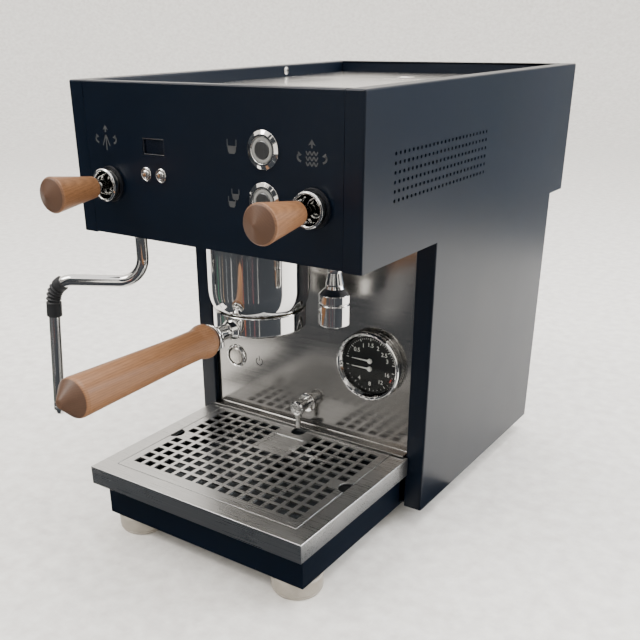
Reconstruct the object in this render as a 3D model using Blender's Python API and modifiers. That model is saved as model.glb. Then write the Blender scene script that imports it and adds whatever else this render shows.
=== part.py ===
"""Dual-boiler espresso machine: an overhanging head on a boxed body, with a drip tray in front.

Metres, +Z up.  While the machine is built, X = 0 is its plane of symmetry, Y = 0 is the front face
of the head (+Y to the rear) and Z = 0 is the table.  The last step shifts everything so that the
middle of the finished machine's footprint stands on the origin.
"""
import math

import bmesh
import bpy
from mathutils import Matrix, Vector

# ---- casing ---------------------------------------------------------------------------------
WIDTH = 0.255               # over the head's side covers
DEPTH = 0.374               # head, front to back
HEIGHT = 0.363              # table to rim
HEAD_HEIGHT = 0.111
SHEET = 0.002               # painted steel covers
THIN_SHEET = 0.0012         # stainless panels
GAP = 0.0003                # between pieces that touch
CORNER_WRAP = 0.014         # how far a head side cover folds round the front corner
PANEL_LIFT = 0.001          # front panel's lower edge above the side covers' lower edge
RIM_WIDTH = 0.014
FRONT_RIM = 0.010
RIM_DROP = 0.010            # rim to the top of the cup tray
BODY_INSET = 0.0066         # body side inside the head side
BODY_FRONT = 0.121
BODY_BACK_INSET = 0.011
BODY_BOTTOM = 0.0154
POST_WIDTH = 0.0148
SPLASH_RECESS = 0.005
SPLASH_LIP = 0.009          # forward flange along the splash panel's lower edge
LID_SEAM = 0.258            # where the cup tray meets the tank lid

# ---- base and feet --------------------------------------------------------------------------
BASE_INSET = 0.0065         # base box side inside the tray's side
BASE_FRONT_INSET = 0.0116   # base box front behind the tray's front
BASE_BOTTOM = 0.0157
BASE_DROP = 0.0023          # base box's top under the tray's skirt
FOOT_RADIUS = 0.0206
FOOT_FROM_BASE_SIDE = 0.0187
FOOT_FROM_BASE_FRONT = 0.0194
FOOT_FROM_BODY_BACK = 0.033

# ---- drip tray ------------------------------------------------------------------------------
TRAY_WIDTH = 0.2148
TRAY_FRONT = -0.041
TRAY_TOP = 0.0632
TRAY_SKIRT = 0.0162
TRAY_BACK_CLEARANCE = 0.0015
TRAY_BORDER = 0.0157        # side of the surround to side of the grid
TRAY_FRONT_BORDER = 0.0165
GRID_SHEET = 0.0015
GRID_BACK_STRIP = 0.0031
GRID_HOLE = 0.007
GRID_PITCH = 0.0115
GRID_FIRST_ROW = 0.015      # grid front edge to the first row of holes
GRID_SIDE_MARGIN = 0.0073   # least plain metal beside the outer holes
FINGER_NOTCH_RADIUS = 0.008
SPOUT_NOTCH_RADIUS = 0.0065
PAN_SHEET = 0.0012

# ---- drain spout ----------------------------------------------------------------------------
SPOUT_RADIUS = 0.00775
SPOUT_HEIGHT = 0.087
SPOUT_REACH = 0.020         # in front of the splash panel
SPOUT_TUBE_RADIUS = 0.00325
SPOUT_TUBE_BACK = 0.005     # down tube's axis behind the cap
SPOUT_TIP_CLEARANCE = 0.0048

# ---- brew group and portafilter -------------------------------------------------------------
GROUP_Y = 0.059
GROUP_DROP = 0.0556         # group's lower edge under the head
GROUP_RISE = 0.010          # group's top above the head's underside
GROUP_DEPTH = 0.0156        # lower edge to the ceiling inside
RING_RADIUS = 0.037
RING_WALL = 0.0075
RING_NECK_INSET = 0.0038    # part of the ring that goes up into the group
RING_DROP = 0.0154          # ring's lower edge under the group's
RING_RISE = 0.0094
LUG_INSET = 0.002           # lug's end inside the ring's outside
LUG_RISE = 0.0034
LUG_HEIGHT = 0.005
LUG_WIDTH = 0.010
BAYONET_ENTRY = math.radians(-62)       # angle at which the lugs drop out of the group
RUNNING_CLEARANCE = 0.0005
GROUP_SKIRT_CLEARANCE = 0.0006
GROUP_STEP = 0.001          # group above its skirt is this much wider
COVER_WALL = 0.001
COVER_CLEARANCE = 0.0004
BASKET_WALL = 0.0008
BASKET_LIFT = 0.0015        # basket's floor above the ring's lower edge
BASKET_RIM = 0.0012
SCREEN_INSET = 0.009
SCREEN_DEPTH = 0.0025
HANDLE_LIFT = 0.005         # handle's axis above the ring's lower edge
HANDLE_START = -0.004       # Y of the wood nearest the group
HANDLE_LENGTH = 0.145
HANDLE_RADIUS = 0.0140
NECK_RADIUS = 0.0060
STUD_RADIUS = 0.0040
STUD_LENGTH = 0.020

# ---- steam and water controls ---------------------------------------------------------------
VALVE_FROM_SIDE = 0.036
VALVE_RISE = 0.039          # valve's axis above the head's underside
COLLAR_RADIUS = 0.012
COLLAR_DEPTH = 0.006
BARREL_RADIUS = 0.0096
BARREL_BORE = 0.0082
BARREL_LENGTH = 0.024
DISH_HOLE = 0.007
PIVOT_Y = 0.006
PIVOT_RING_RADIUS = 0.0072
PIVOT_RING_LENGTH = 0.004
LEVER_BALL = 0.0045
LEVER_STEM = 0.0032
PIVOT_PIN = 0.0010
PIN_CLEARANCE = 0.0003
KNOB_START = 0.013          # in front of the panel
KNOB_LENGTH = 0.045
KNOB_SMALL = 0.0075
KNOB_LARGE = 0.01325

# ---- steam wand -----------------------------------------------------------------------------
WAND_Y = 0.025
WAND_PIVOT_LIFT = 0.010     # ball centre above the head's underside
WAND_AZIMUTH = math.radians(208)
WAND_TUBE = 0.0042
WAND_BALL = 0.0065
WAND_DROP = 0.053           # ball centre to the level run
WAND_FIRST_BEND = 0.018
WAND_SECOND_BEND = 0.014
WAND_REACH = 0.080          # level run's end, after the second bend
WAND_LENGTH = 0.175         # ball centre to the tip, in height
WAND_LEAN = 0.0072          # how far the lower tube leans out
WAND_HOLE = 0.0068
GRIP_RADIUS = 0.006
GRIP_BEFORE_BEND = 0.006
GRIP_AFTER_BEND = 0.022
TIP_LENGTH = 0.012

# ---- hot-water tap --------------------------------------------------------------------------
TAP_Y = 0.0255
TAP_NECK = 0.0047
TAP_RADIUS = 0.011
TAP_DROP = 0.046            # tap's mouth under the head
TAP_HEIGHT = 0.023          # its wide part

# ---- pressure gauge -------------------------------------------------------------------------
GAUGE_FROM_POST = 0.0406
GAUGE_Z = 0.138
GAUGE_RADIUS = 0.030
GAUGE_BORE = 0.0255
GAUGE_BARREL = 0.0265
GAUGE_PROUD = 0.009
GAUGE_BARREL_LENGTH = 0.024
NEEDLE_SPACING = 0.007
NEEDLE_LENGTH = 0.0175
NEEDLE_HUB = 0.0030

# ---- buttons and display --------------------------------------------------------------------
DISPLAY_FROM_VALVE = 0.0455
DISPLAY_DROP = 0.043        # display's middle under the rim
DISPLAY_WIDTH = 0.021
DISPLAY_HEIGHT = 0.012
MENU_FROM_VALVE = (0.037, 0.0515)
MENU_DROP = 0.0193          # small buttons under the display's middle
MENU_RADIUS = 0.0047
CUP_FROM_VALVE = 0.0397
CUP_BUTTON_DROP = 0.0387    # upper cup button under the rim
CUP_BUTTON_PITCH = 0.033
POWER_FROM_POST = 0.0256
POWER_Z = 0.1154
BEZEL_RADIUS = 0.0125
POWER_BEZEL_RADIUS = 0.011
BEZEL_PROUD = 0.0022
BUTTON_RADIUS = 0.0082
BUTTON_CLEARANCE = 0.0003
BUTTON_WALL = 0.0006
BEZEL_BARREL_LENGTH = 0.014

# ---- inside ---------------------------------------------------------------------------------
BREW_BOILER_RADIUS = 0.034
BREW_BOILER_HEADROOM = 0.0135           # under the cup tray
STEAM_BOILER_HEADROOM = 0.0135
SADDLE_HEIGHT = 0.008
STEAM_BOILER_LENGTH = 0.160
STEAM_BOILER_Y = 0.185
BOILER_WALL = 0.002
BOILER_PORT = 0.004
PUMP_RADIUS = 0.028
PUMP_LENGTH = 0.080
PUMP_X = 0.030
PUMP_FRONT = 0.160
CONTROL_WIDTH = 0.065
CONTROL_DEPTH = 0.030
CONTROL_HEADROOM = 0.017    # under the head
CONTROL_BOTTOM = 0.135
TANK_WIDTH = 0.092
TANK_FRONT = 0.262
TANK_BACK_CLEARANCE = 0.0027
TANK_WALL = 0.002
TANK_HEADROOM = 0.0078      # tank's rim under its lid
TANK_HATCH_CLEARANCE = 0.002
INLET_X = 0.075
INLET_Z = 0.055
INLET_WIDTH = 0.030
INLET_HEIGHT = 0.024
INLET_FLANGE = 0.008
INLET_DEPTH = 0.022

# ---- worked out from the values above -------------------------------------------------------
HALF = WIDTH / 2
HEAD_BOTTOM = HEIGHT - HEAD_HEIGHT
BODY_HALF = HALF - BODY_INSET
BODY_TOP = HEAD_BOTTOM - GAP
BODY_BACK = DEPTH - BODY_BACK_INSET
POST_INNER = BODY_HALF - POST_WIDTH
SPLASH_Y = BODY_FRONT + SPLASH_RECESS
SPLASH_BACK = SPLASH_Y + THIN_SHEET
FLOOR_TOP = HEAD_BOTTOM + SHEET
DECK_TOP = HEIGHT - RIM_DROP
DECK_HALF = HALF - RIM_WIDTH - GAP
TRAY_HALF = TRAY_WIDTH / 2
TRAY_BACK = BODY_FRONT - TRAY_BACK_CLEARANCE
TRAY_BOTTOM = TRAY_TOP - TRAY_SKIRT
GRID_HALF = TRAY_HALF - TRAY_BORDER
GRID_FRONT = TRAY_FRONT + TRAY_FRONT_BORDER
GRID_BACK = TRAY_BACK - GRID_BACK_STRIP
BASE_HALF = TRAY_HALF - BASE_INSET
BASE_FRONT = TRAY_FRONT + BASE_FRONT_INSET
BASE_TOP = TRAY_BOTTOM - BASE_DROP
DECK_BOTTOM = DECK_TOP - THIN_SHEET
GROUP_BOTTOM = HEAD_BOTTOM - GROUP_DROP
GROUP_CEILING = GROUP_BOTTOM + GROUP_DEPTH
GROUP_TOP = HEAD_BOTTOM + GROUP_RISE
GROUP_SKIRT_RADIUS = RING_RADIUS + GROUP_SKIRT_CLEARANCE
GROUP_RADIUS = GROUP_SKIRT_RADIUS + GROUP_STEP
COVER_RADIUS = GROUP_RADIUS + COVER_CLEARANCE + COVER_WALL
RING_BORE = RING_RADIUS - RING_WALL
RING_NECK_RADIUS = RING_RADIUS - RING_NECK_INSET
RING_BOTTOM = GROUP_BOTTOM - RING_DROP
RING_TOP = GROUP_BOTTOM + RING_RISE
LUG_REACH = RING_RADIUS - LUG_INSET
LUG_BOTTOM = GROUP_BOTTOM + LUG_RISE
LUG_TOP = LUG_BOTTOM + LUG_HEIGHT
BASKET_BOTTOM = RING_BOTTOM + BASKET_LIFT
SCREEN_RADIUS = RING_RADIUS - SCREEN_INSET
HANDLE_Z = RING_BOTTOM + HANDLE_LIFT
VALVE_X = HALF - VALVE_FROM_SIDE
VALVE_Z = HEAD_BOTTOM + VALVE_RISE
TAP_BOTTOM = HEAD_BOTTOM - TAP_DROP
DISPLAY_Z = HEIGHT - DISPLAY_DROP
MENU_Z = DISPLAY_Z - MENU_DROP
CUP_BUTTON_Z = (HEIGHT - CUP_BUTTON_DROP, HEIGHT - CUP_BUTTON_DROP - CUP_BUTTON_PITCH)
TANK_TOP = DECK_BOTTOM - TANK_HEADROOM
CUP_X = VALVE_X - CUP_FROM_VALVE
DISPLAY_X = DISPLAY_FROM_VALVE - VALVE_X
POWER_X = POWER_FROM_POST - POST_INNER
GAUGE_X = POST_INNER - GAUGE_FROM_POST
WAND_PIVOT_Z = HEAD_BOTTOM + WAND_PIVOT_LIFT
SPOUT_Y = SPLASH_Y - SPOUT_REACH + SPOUT_TUBE_BACK
SPOUT_TIP = TRAY_TOP + SPOUT_TIP_CLEARANCE
BASE_FLOOR_TOP = BASE_BOTTOM + SHEET

FINE = 24                   # sides of the large round pieces
COARSE = 16                 # sides of the small ones

ALONG_Z = Matrix.Identity(3)
ALONG_Y = Matrix.Rotation(math.radians(-90), 3, "X")     # local +Z turned to +Y
ALONG_X = Matrix.Rotation(math.radians(90), 3, "Y")      # local +Z turned to +X


# ---- scene helpers --------------------------------------------------------------------------
def clear_scene():
    for old in list(bpy.data.objects):
        bpy.data.objects.remove(old, do_unlink=True)


def collection(name):
    new = bpy.data.collections.new(name)
    bpy.context.scene.collection.children.link(new)
    return new


clear_scene()
PARTS = collection("espresso_machine")
CUTTERS = collection("cutters")
ROOT = bpy.data.objects.new("machine", None)
PARTS.objects.link(ROOT)


def material(name, colour, roughness, metallic):
    """A Principled material; the colour is linear RGB."""
    new = bpy.data.materials.new(name)
    new.use_nodes = True
    shader = new.node_tree.nodes["Principled BSDF"]
    shader.inputs["Base Color"].default_value = (*colour, 1)
    shader.inputs["Roughness"].default_value = roughness
    shader.inputs["Metallic"].default_value = metallic
    new.diffuse_color = (*colour, 1)
    return new


PAINT = material("black_paint", (0.012, 0.017, 0.028), 0.45, 0.0)
STEEL = material("brushed_steel", (0.55, 0.54, 0.51), 0.28, 1.0)
CHROME = material("chrome", (0.75, 0.75, 0.76), 0.06, 1.0)
WOOD = material("tan_wood", (0.50, 0.28, 0.14), 0.45, 0.0)
RUBBER = material("black_rubber", (0.015, 0.015, 0.016), 0.7, 0.0)
BRASS = material("brass", (0.62, 0.45, 0.18), 0.3, 1.0)
COPPER = material("boiler_steel", (0.45, 0.45, 0.44), 0.35, 1.0)
PLASTIC = material("black_plastic", (0.02, 0.02, 0.022), 0.5, 0.0)
GLASS = material("clear_glass", (0.8, 0.85, 0.87), 0.03, 0.0)
DIAL = material("dial_black", (0.006, 0.006, 0.008), 0.4, 0.0)
WHITE = material("needle_white", (0.75, 0.75, 0.72), 0.35, 0.0)
FOOT = material("foot_grey", (0.33, 0.31, 0.27), 0.5, 0.4)
TANK = material("tank_plastic", (0.55, 0.60, 0.62), 0.15, 0.0)


def add_object(name, data, finish, location=(0, 0, 0), turn=ALONG_Z):
    """Link a new part, or a cutter where finish is None, under the machine's root."""
    new = bpy.data.objects.new(name, data)
    new.location = location
    new.rotation_euler = turn.to_euler()
    new.parent = ROOT
    if finish is None:
        CUTTERS.objects.link(new)
        new.hide_render = True
        new.display_type = "WIRE"
    else:
        PARTS.objects.link(new)
        data.materials.append(finish)
    return new


def box(name, low, high, finish=None):
    """A box between two corners, with its origin at its middle."""
    size = [high[i] - low[i] for i in range(3)]
    middle = [(high[i] + low[i]) / 2 for i in range(3)]
    mesh = bpy.data.meshes.new(name)
    shape = bmesh.new()
    bmesh.ops.create_cube(shape, size=1, matrix=Matrix.Diagonal((*size, 1)))
    shape.to_mesh(mesh)
    shape.free()
    return add_object(name, mesh, finish, middle)


def cylinder(name, radius, length, location, turn=ALONG_Z, finish=None, sides=COARSE):
    """A cylinder from location along the turned +Z axis."""
    mesh = bpy.data.meshes.new(name)
    shape = bmesh.new()
    bmesh.ops.create_cone(shape, cap_ends=True, segments=sides, radius1=radius, radius2=radius,
                          depth=length, matrix=Matrix.Translation((0, 0, length / 2)))
    shape.to_mesh(mesh)
    shape.free()
    return add_object(name, mesh, finish, location, turn)


def turned(name, profile, location, finish=None, turn=ALONG_Z, sides=FINE, closed=False):
    """Spin a profile of (radius, height) points about local Z.

    The profile runs down the outer side, from the top to the bottom.  A closed one is a ring's
    cross-section and goes on up the inner side.
    """
    mesh = bpy.data.meshes.new(name)
    points = [(radius, 0, height) for radius, height in profile]
    edges = [(i, i + 1) for i in range(len(points) - 1)]
    if closed:
        edges.append((len(points) - 1, 0))
    mesh.from_pydata(points, edges, [])
    new = add_object(name, mesh, finish, location, turn)
    screw = new.modifiers.new("spin", "SCREW")
    screw.axis = "Z"
    screw.steps = sides
    screw.render_steps = sides
    screw.use_merge_vertices = True
    screw.merge_threshold = 0.00001
    screw.use_smooth_shade = False
    return new


def combine(part, other, operation):
    """Cut, or join, one solid with another that is kept as a guide."""
    modifier = part.modifiers.new(other.name, "BOOLEAN")
    modifier.operation = operation
    modifier.object = other
    modifier.solver = "EXACT"


def cut(part, *others):
    for other in others:
        combine(part, other, "DIFFERENCE")


def join(part, *others):
    for other in others:
        combine(part, other, "UNION")


def folded(name, boxes, finish):
    """A folded sheet: its flat stretches, given as pairs of corners, joined into one solid."""
    part = box(name, *boxes[0], finish)
    for index, (low, high) in enumerate(boxes[1:]):
        join(part, box(f"{name}_fold_{index}", low, high))
    return part


def cross_box(side, name, x_range, y_range, z_range):
    """Corners of a box whose X range is measured outward on one side of the machine."""
    near, far = sorted((side * x_range[0], side * x_range[1]))
    return (near, y_range[0], z_range[0]), (far, y_range[1], z_range[1])


def tube(name, points, radius, finish, location=(0, 0, 0), resolution=2):
    """A capped tube along a polyline, made a mesh with its caps welded."""
    curve = bpy.data.curves.new(name, "CURVE")
    curve.dimensions = "3D"
    curve.bevel_depth = radius
    curve.bevel_resolution = resolution
    curve.use_fill_caps = True
    spline = curve.splines.new("POLY")
    spline.points.add(len(points) - 1)
    for target, point in zip(spline.points, points):
        target.co = (*point, 1)
    guide = bpy.data.objects.new(name + "_path", curve)
    PARTS.objects.link(guide)
    bpy.context.view_layer.update()
    evaluated = guide.evaluated_get(bpy.context.evaluated_depsgraph_get())
    mesh = bpy.data.meshes.new_from_object(evaluated)
    bpy.data.objects.remove(guide)
    shape = bmesh.new()
    shape.from_mesh(mesh)
    bmesh.ops.remove_doubles(shape, verts=shape.verts, dist=0.00001)
    bmesh.ops.recalc_face_normals(shape, faces=shape.faces)
    shape.to_mesh(mesh)
    shape.free()
    mesh.materials.clear()
    return add_object(name, mesh, finish, location)


def arc(centre, radius, start, end, steps):
    """Points on an arc in the (reach, height) plane; angles in degrees."""
    angles = [math.radians(start + (end - start) * i / steps) for i in range(steps + 1)]
    return [(centre[0] + radius * math.cos(a), centre[1] + radius * math.sin(a)) for a in angles]


# ---- casing ---------------------------------------------------------------------------------
def head_side_cover(name, side):
    height = (HEAD_BOTTOM, HEIGHT)
    skin = cross_box(side, name, (HALF - SHEET, HALF), (0, DEPTH), height)
    wrap = cross_box(side, name, (HALF - CORNER_WRAP, HALF), (0, SHEET), height)
    rim = cross_box(side, name, (HALF - RIM_WIDTH, HALF), (0, DEPTH), (HEIGHT - SHEET, HEIGHT))
    gallery = cross_box(side, name, (HALF - RIM_WIDTH, HALF - RIM_WIDTH + SHEET),
                        (0, DEPTH), (DECK_TOP - SHEET, HEIGHT))
    folded(name, [skin, wrap, rim, gallery], PAINT)


def valve_hole(name, side):
    return cylinder(name, BARREL_RADIUS + GAP, 4 * SHEET, (side * VALVE_X, -2 * SHEET, VALVE_Z), ALONG_Y)


def front_panel():
    half = HALF - CORNER_WRAP - GAP
    face = ((-half, 0, HEAD_BOTTOM + PANEL_LIFT), (half, SHEET, HEIGHT))
    rim = ((-half, 0, HEIGHT - SHEET), (half, FRONT_RIM, HEIGHT))
    gallery = ((-half, FRONT_RIM - SHEET, DECK_TOP - SHEET), (half, FRONT_RIM, HEIGHT))
    panel = folded("front_panel", [face, rim, gallery], PAINT)
    cut(panel, valve_hole("steam_valve_hole", -1), valve_hole("water_valve_hole", 1))
    cut(panel, box("display_hole",
                   (DISPLAY_X - DISPLAY_WIDTH / 2 - GAP, -SHEET, DISPLAY_Z - DISPLAY_HEIGHT / 2 - GAP),
                   (DISPLAY_X + DISPLAY_WIDTH / 2 + GAP, 2 * SHEET, DISPLAY_Z + DISPLAY_HEIGHT / 2 + GAP)))
    for index, offset in enumerate(MENU_FROM_VALVE):
        cut(panel, cylinder(f"menu_hole_{index}", MENU_RADIUS + BUTTON_CLEARANCE, 4 * SHEET,
                            (offset - VALVE_X, -2 * SHEET, MENU_Z), ALONG_Y))
    barrel = BUTTON_RADIUS + BUTTON_CLEARANCE + BUTTON_WALL
    for index, height in enumerate(CUP_BUTTON_Z):
        cut(panel, cylinder(f"cup_hole_{index}", barrel + GAP, 4 * SHEET,
                            (CUP_X, -2 * SHEET, height), ALONG_Y))


def head_rear_cover():
    half = HALF - SHEET - GAP
    skin = ((-half, DEPTH - SHEET, HEAD_BOTTOM), (half, DEPTH, DECK_TOP - SHEET - GAP))
    step = ((-DECK_HALF, DEPTH - SHEET, HEAD_BOTTOM + SHEET), (DECK_HALF, DEPTH, HEIGHT))
    rim = ((-DECK_HALF, DEPTH - RIM_WIDTH, HEIGHT - SHEET), (DECK_HALF, DEPTH, HEIGHT))
    gallery = ((-DECK_HALF, DEPTH - RIM_WIDTH, DECK_TOP - SHEET),
               (DECK_HALF, DEPTH - RIM_WIDTH + SHEET, HEIGHT))
    folded("upper_rear_cover", [skin, step, rim, gallery], PAINT)


def head_floor():
    half = HALF - SHEET - GAP
    floor = box("upper_floor", (-half, SHEET + GAP, HEAD_BOTTOM), (half, DEPTH - SHEET - GAP, FLOOR_TOP), PAINT)
    below = HEAD_BOTTOM - SHEET
    cut(floor, cylinder("group_hole", GROUP_RADIUS + GAP, 3 * SHEET, (0, GROUP_Y, below), sides=FINE))
    cut(floor, cylinder("wand_hole", WAND_HOLE, 3 * SHEET, (-VALVE_X, WAND_Y, below)))
    cut(floor, cylinder("tap_hole", TAP_NECK + GAP, 3 * SHEET, (VALVE_X, TAP_Y, below)))
    hatch = TANK_WIDTH / 2 + TANK_HATCH_CLEARANCE
    cut(floor, box("tank_hatch", (-hatch, TANK_FRONT - TANK_HATCH_CLEARANCE, below),
                   (hatch, BODY_BACK - SHEET - GAP, FLOOR_TOP + SHEET)))


def top_plates():
    box("cup_tray", (-DECK_HALF, FRONT_RIM + GAP, DECK_BOTTOM), (DECK_HALF, LID_SEAM, DECK_TOP), STEEL)
    lid_back = DEPTH - RIM_WIDTH - GAP
    box("tank_lid", (-DECK_HALF, LID_SEAM + GAP, DECK_BOTTOM), (DECK_HALF, lid_back, DECK_TOP), STEEL)


def body_side_cover(name, side):
    height = (BODY_BOTTOM, BODY_TOP)
    skin = cross_box(side, name, (BODY_HALF - SHEET, BODY_HALF), (BODY_FRONT, BODY_BACK), height)
    post = cross_box(side, name, (POST_INNER, BODY_HALF), (BODY_FRONT, BODY_FRONT + SHEET), height)
    fold = cross_box(side, name, (POST_INNER, POST_INNER + SHEET), (BODY_FRONT, SPLASH_Y - GAP), height)
    folded(name, [skin, post, fold], PAINT)


def body_rear_cover():
    half = BODY_HALF - SHEET - GAP
    cover = box("lower_rear_cover", (-half, BODY_BACK - SHEET, BODY_BOTTOM), (half, BODY_BACK, BODY_TOP), PAINT)
    cut(cover, box("inlet_hole",
                   (INLET_X - INLET_WIDTH / 2 - GAP, BODY_BACK - 2 * SHEET, INLET_Z - INLET_HEIGHT / 2 - GAP),
                   (INLET_X + INLET_WIDTH / 2 + GAP, BODY_BACK + SHEET, INLET_Z + INLET_HEIGHT / 2 + GAP)))


def splash_panel():
    bottom = TRAY_TOP + 3 * GAP
    half = BODY_HALF - SHEET - GAP
    sheet = ((-half, SPLASH_Y, bottom), (half, SPLASH_BACK, BODY_TOP))
    lip_half = POST_INNER - GAP
    lip = ((-lip_half, SPLASH_Y - SPLASH_LIP, bottom), (lip_half, SPLASH_BACK, bottom + THIN_SHEET))
    panel = folded("splash_panel", [sheet, lip], STEEL)
    front = SPLASH_Y - 2 * SHEET
    cut(panel, cylinder("gauge_hole", GAUGE_BARREL + GAP, 4 * SHEET, (GAUGE_X, front, GAUGE_Z), ALONG_Y, sides=FINE))
    barrel = BUTTON_RADIUS + BUTTON_CLEARANCE + BUTTON_WALL
    cut(panel, cylinder("power_hole", barrel + GAP, 4 * SHEET, (POWER_X, front, POWER_Z), ALONG_Y))
    cut(panel, cylinder("spout_hole", SPOUT_RADIUS + GAP, 4 * SHEET, (0, front, SPOUT_HEIGHT), ALONG_Y))


# ---- base -----------------------------------------------------------------------------------
def base_frame():
    box_back = BODY_FRONT - SHEET
    front = box("base_frame", (-BASE_HALF, BASE_FRONT, BASE_BOTTOM), (BASE_HALF, box_back, BASE_TOP), PAINT)
    cut(front, box("base_hollow", (SHEET - BASE_HALF, BASE_FRONT + SHEET, 0),
                   (BASE_HALF - SHEET, box_back - SHEET, BASE_TOP - SHEET)))
    join(front, box("base_tongue", (-BASE_HALF, box_back - SHEET, BASE_BOTTOM),
                    (BASE_HALF, SPLASH_Y + SHEET, BASE_FLOOR_TOP)))
    half = BODY_HALF - SHEET - GAP
    join(front, box("base_floor", (-half, SPLASH_Y, BASE_BOTTOM),
                    (half, BODY_BACK - SHEET - GAP, BASE_FLOOR_TOP)))
    for index, side in enumerate((-1, 1)):
        x = side * (BASE_HALF - FOOT_FROM_BASE_SIDE)
        pad_front = BASE_FRONT + SHEET / 2
        join(front, box(f"foot_pad_{index}", (x - FOOT_RADIUS / 2, pad_front, BASE_BOTTOM),
                        (x + FOOT_RADIUS / 2, BASE_FRONT + 2 * FOOT_FROM_BASE_FRONT, BASE_FLOOR_TOP)))


def feet():
    x = BASE_HALF - FOOT_FROM_BASE_SIDE
    rows = {"front": BASE_FRONT + FOOT_FROM_BASE_FRONT, "rear": BODY_BACK - FOOT_FROM_BODY_BACK}
    top = BASE_BOTTOM - GAP
    edge = 0.0015
    profile = [(0, top), (FOOT_RADIUS - edge, top), (FOOT_RADIUS, top - edge),
               (FOOT_RADIUS, edge), (FOOT_RADIUS - edge, 0), (0, 0)]
    for row, y in rows.items():
        for side_name, side in (("left", -1), ("right", 1)):
            turned(f"foot_{row}_{side_name}", profile, (side * x, y, 0), FOOT)


# ---- drip tray ------------------------------------------------------------------------------
def tray_surround():
    surround = box("drip_surround", (-TRAY_HALF, TRAY_FRONT, TRAY_BOTTOM), (TRAY_HALF, TRAY_BACK, TRAY_TOP), STEEL)
    cut(surround, box("surround_hollow", (PAN_SHEET - TRAY_HALF, TRAY_FRONT + PAN_SHEET, TRAY_BOTTOM - SHEET),
                      (TRAY_HALF - PAN_SHEET, TRAY_BACK - PAN_SHEET, TRAY_TOP - PAN_SHEET)))
    cut(surround, box("surround_opening", (-GRID_HALF - GAP, GRID_FRONT - GAP, TRAY_BOTTOM),
                      (GRID_HALF + GAP, GRID_BACK + GAP, TRAY_TOP + SHEET)))


def tray_pan():
    half = GRID_HALF - GAP
    top = TRAY_TOP - GRID_SHEET - GAP
    bottom = BASE_TOP + GAP
    pan = box("drip_pan", (-half, GRID_FRONT + GAP, bottom), (half, GRID_BACK - GAP, top), STEEL)
    cut(pan, box("pan_hollow", (PAN_SHEET - half, GRID_FRONT + GAP + PAN_SHEET, bottom + PAN_SHEET),
                 (half - PAN_SHEET, GRID_BACK - GAP - PAN_SHEET, top + SHEET)))


def grid_holes():
    """Centres of the square holes, leaving out those under the pad, the spout and the notches."""
    columns = 2 * int((GRID_HALF - GRID_SIDE_MARGIN - GRID_HOLE / 2) / GRID_PITCH) + 1
    rows = int((GRID_BACK - GRID_FRONT - GRID_FIRST_ROW - GRID_HOLE) / GRID_PITCH) + 1
    middle = columns // 2
    holes = []
    for row in range(rows):
        for column in range(columns):
            pad = abs(column - middle) <= 1 and row >= rows - 4
            notch = column in (0, columns - 1) and row == rows // 2
            if not pad and not notch:
                holes.append(((column - middle) * GRID_PITCH, GRID_FRONT + GRID_FIRST_ROW + row * GRID_PITCH))
    return holes


def tray_grid():
    low = TRAY_TOP - GRID_SHEET
    grid = box("drip_grid", (-GRID_HALF, GRID_FRONT, low), (GRID_HALF, GRID_BACK, TRAY_TOP), STEEL)
    mesh = bpy.data.meshes.new("grid_punches")
    punches = bmesh.new()
    size = Matrix.Diagonal((GRID_HOLE, GRID_HOLE, 3 * GRID_SHEET, 1))
    for x, y in grid_holes():
        bmesh.ops.create_cube(punches, size=1, matrix=Matrix.Translation((x, y, 0)) @ size)
    punches.to_mesh(mesh)
    punches.free()
    cut(grid, add_object("grid_punches", mesh, None, (0, 0, low + GRID_SHEET / 2)))
    notch_y = GRID_FRONT + GRID_FIRST_ROW + 5 * GRID_PITCH
    for index, side in enumerate((-1, 1)):
        cut(grid, cylinder(f"finger_notch_{index}", FINGER_NOTCH_RADIUS, 3 * GRID_SHEET,
                           (side * GRID_HALF, notch_y, low - GRID_SHEET)))
    cut(grid, cylinder("spout_notch", SPOUT_NOTCH_RADIUS, 3 * GRID_SHEET, (0, SPOUT_Y, low - GRID_SHEET)))
    cut(grid, box("spout_notch_mouth", (-SPOUT_NOTCH_RADIUS, SPOUT_Y, low - GRID_SHEET),
                  (SPOUT_NOTCH_RADIUS, GRID_BACK + SHEET, TRAY_TOP + GRID_SHEET)))


def drain_spout():
    cap = 0.003
    front = SPLASH_Y - SPOUT_REACH
    length = SPOUT_REACH + 0.014
    profile = [(0, length), (SPOUT_RADIUS, length), (SPOUT_RADIUS, cap), (0.85 * SPOUT_RADIUS, cap / 3), (0, 0)]
    spout = turned("drain_spout", profile, (0, front, SPOUT_HEIGHT), CHROME, ALONG_Y, COARSE)
    join(spout, cylinder("spout_tube", SPOUT_TUBE_RADIUS, SPOUT_HEIGHT - SPOUT_TIP, (0, SPOUT_Y, SPOUT_TIP)))


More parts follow.
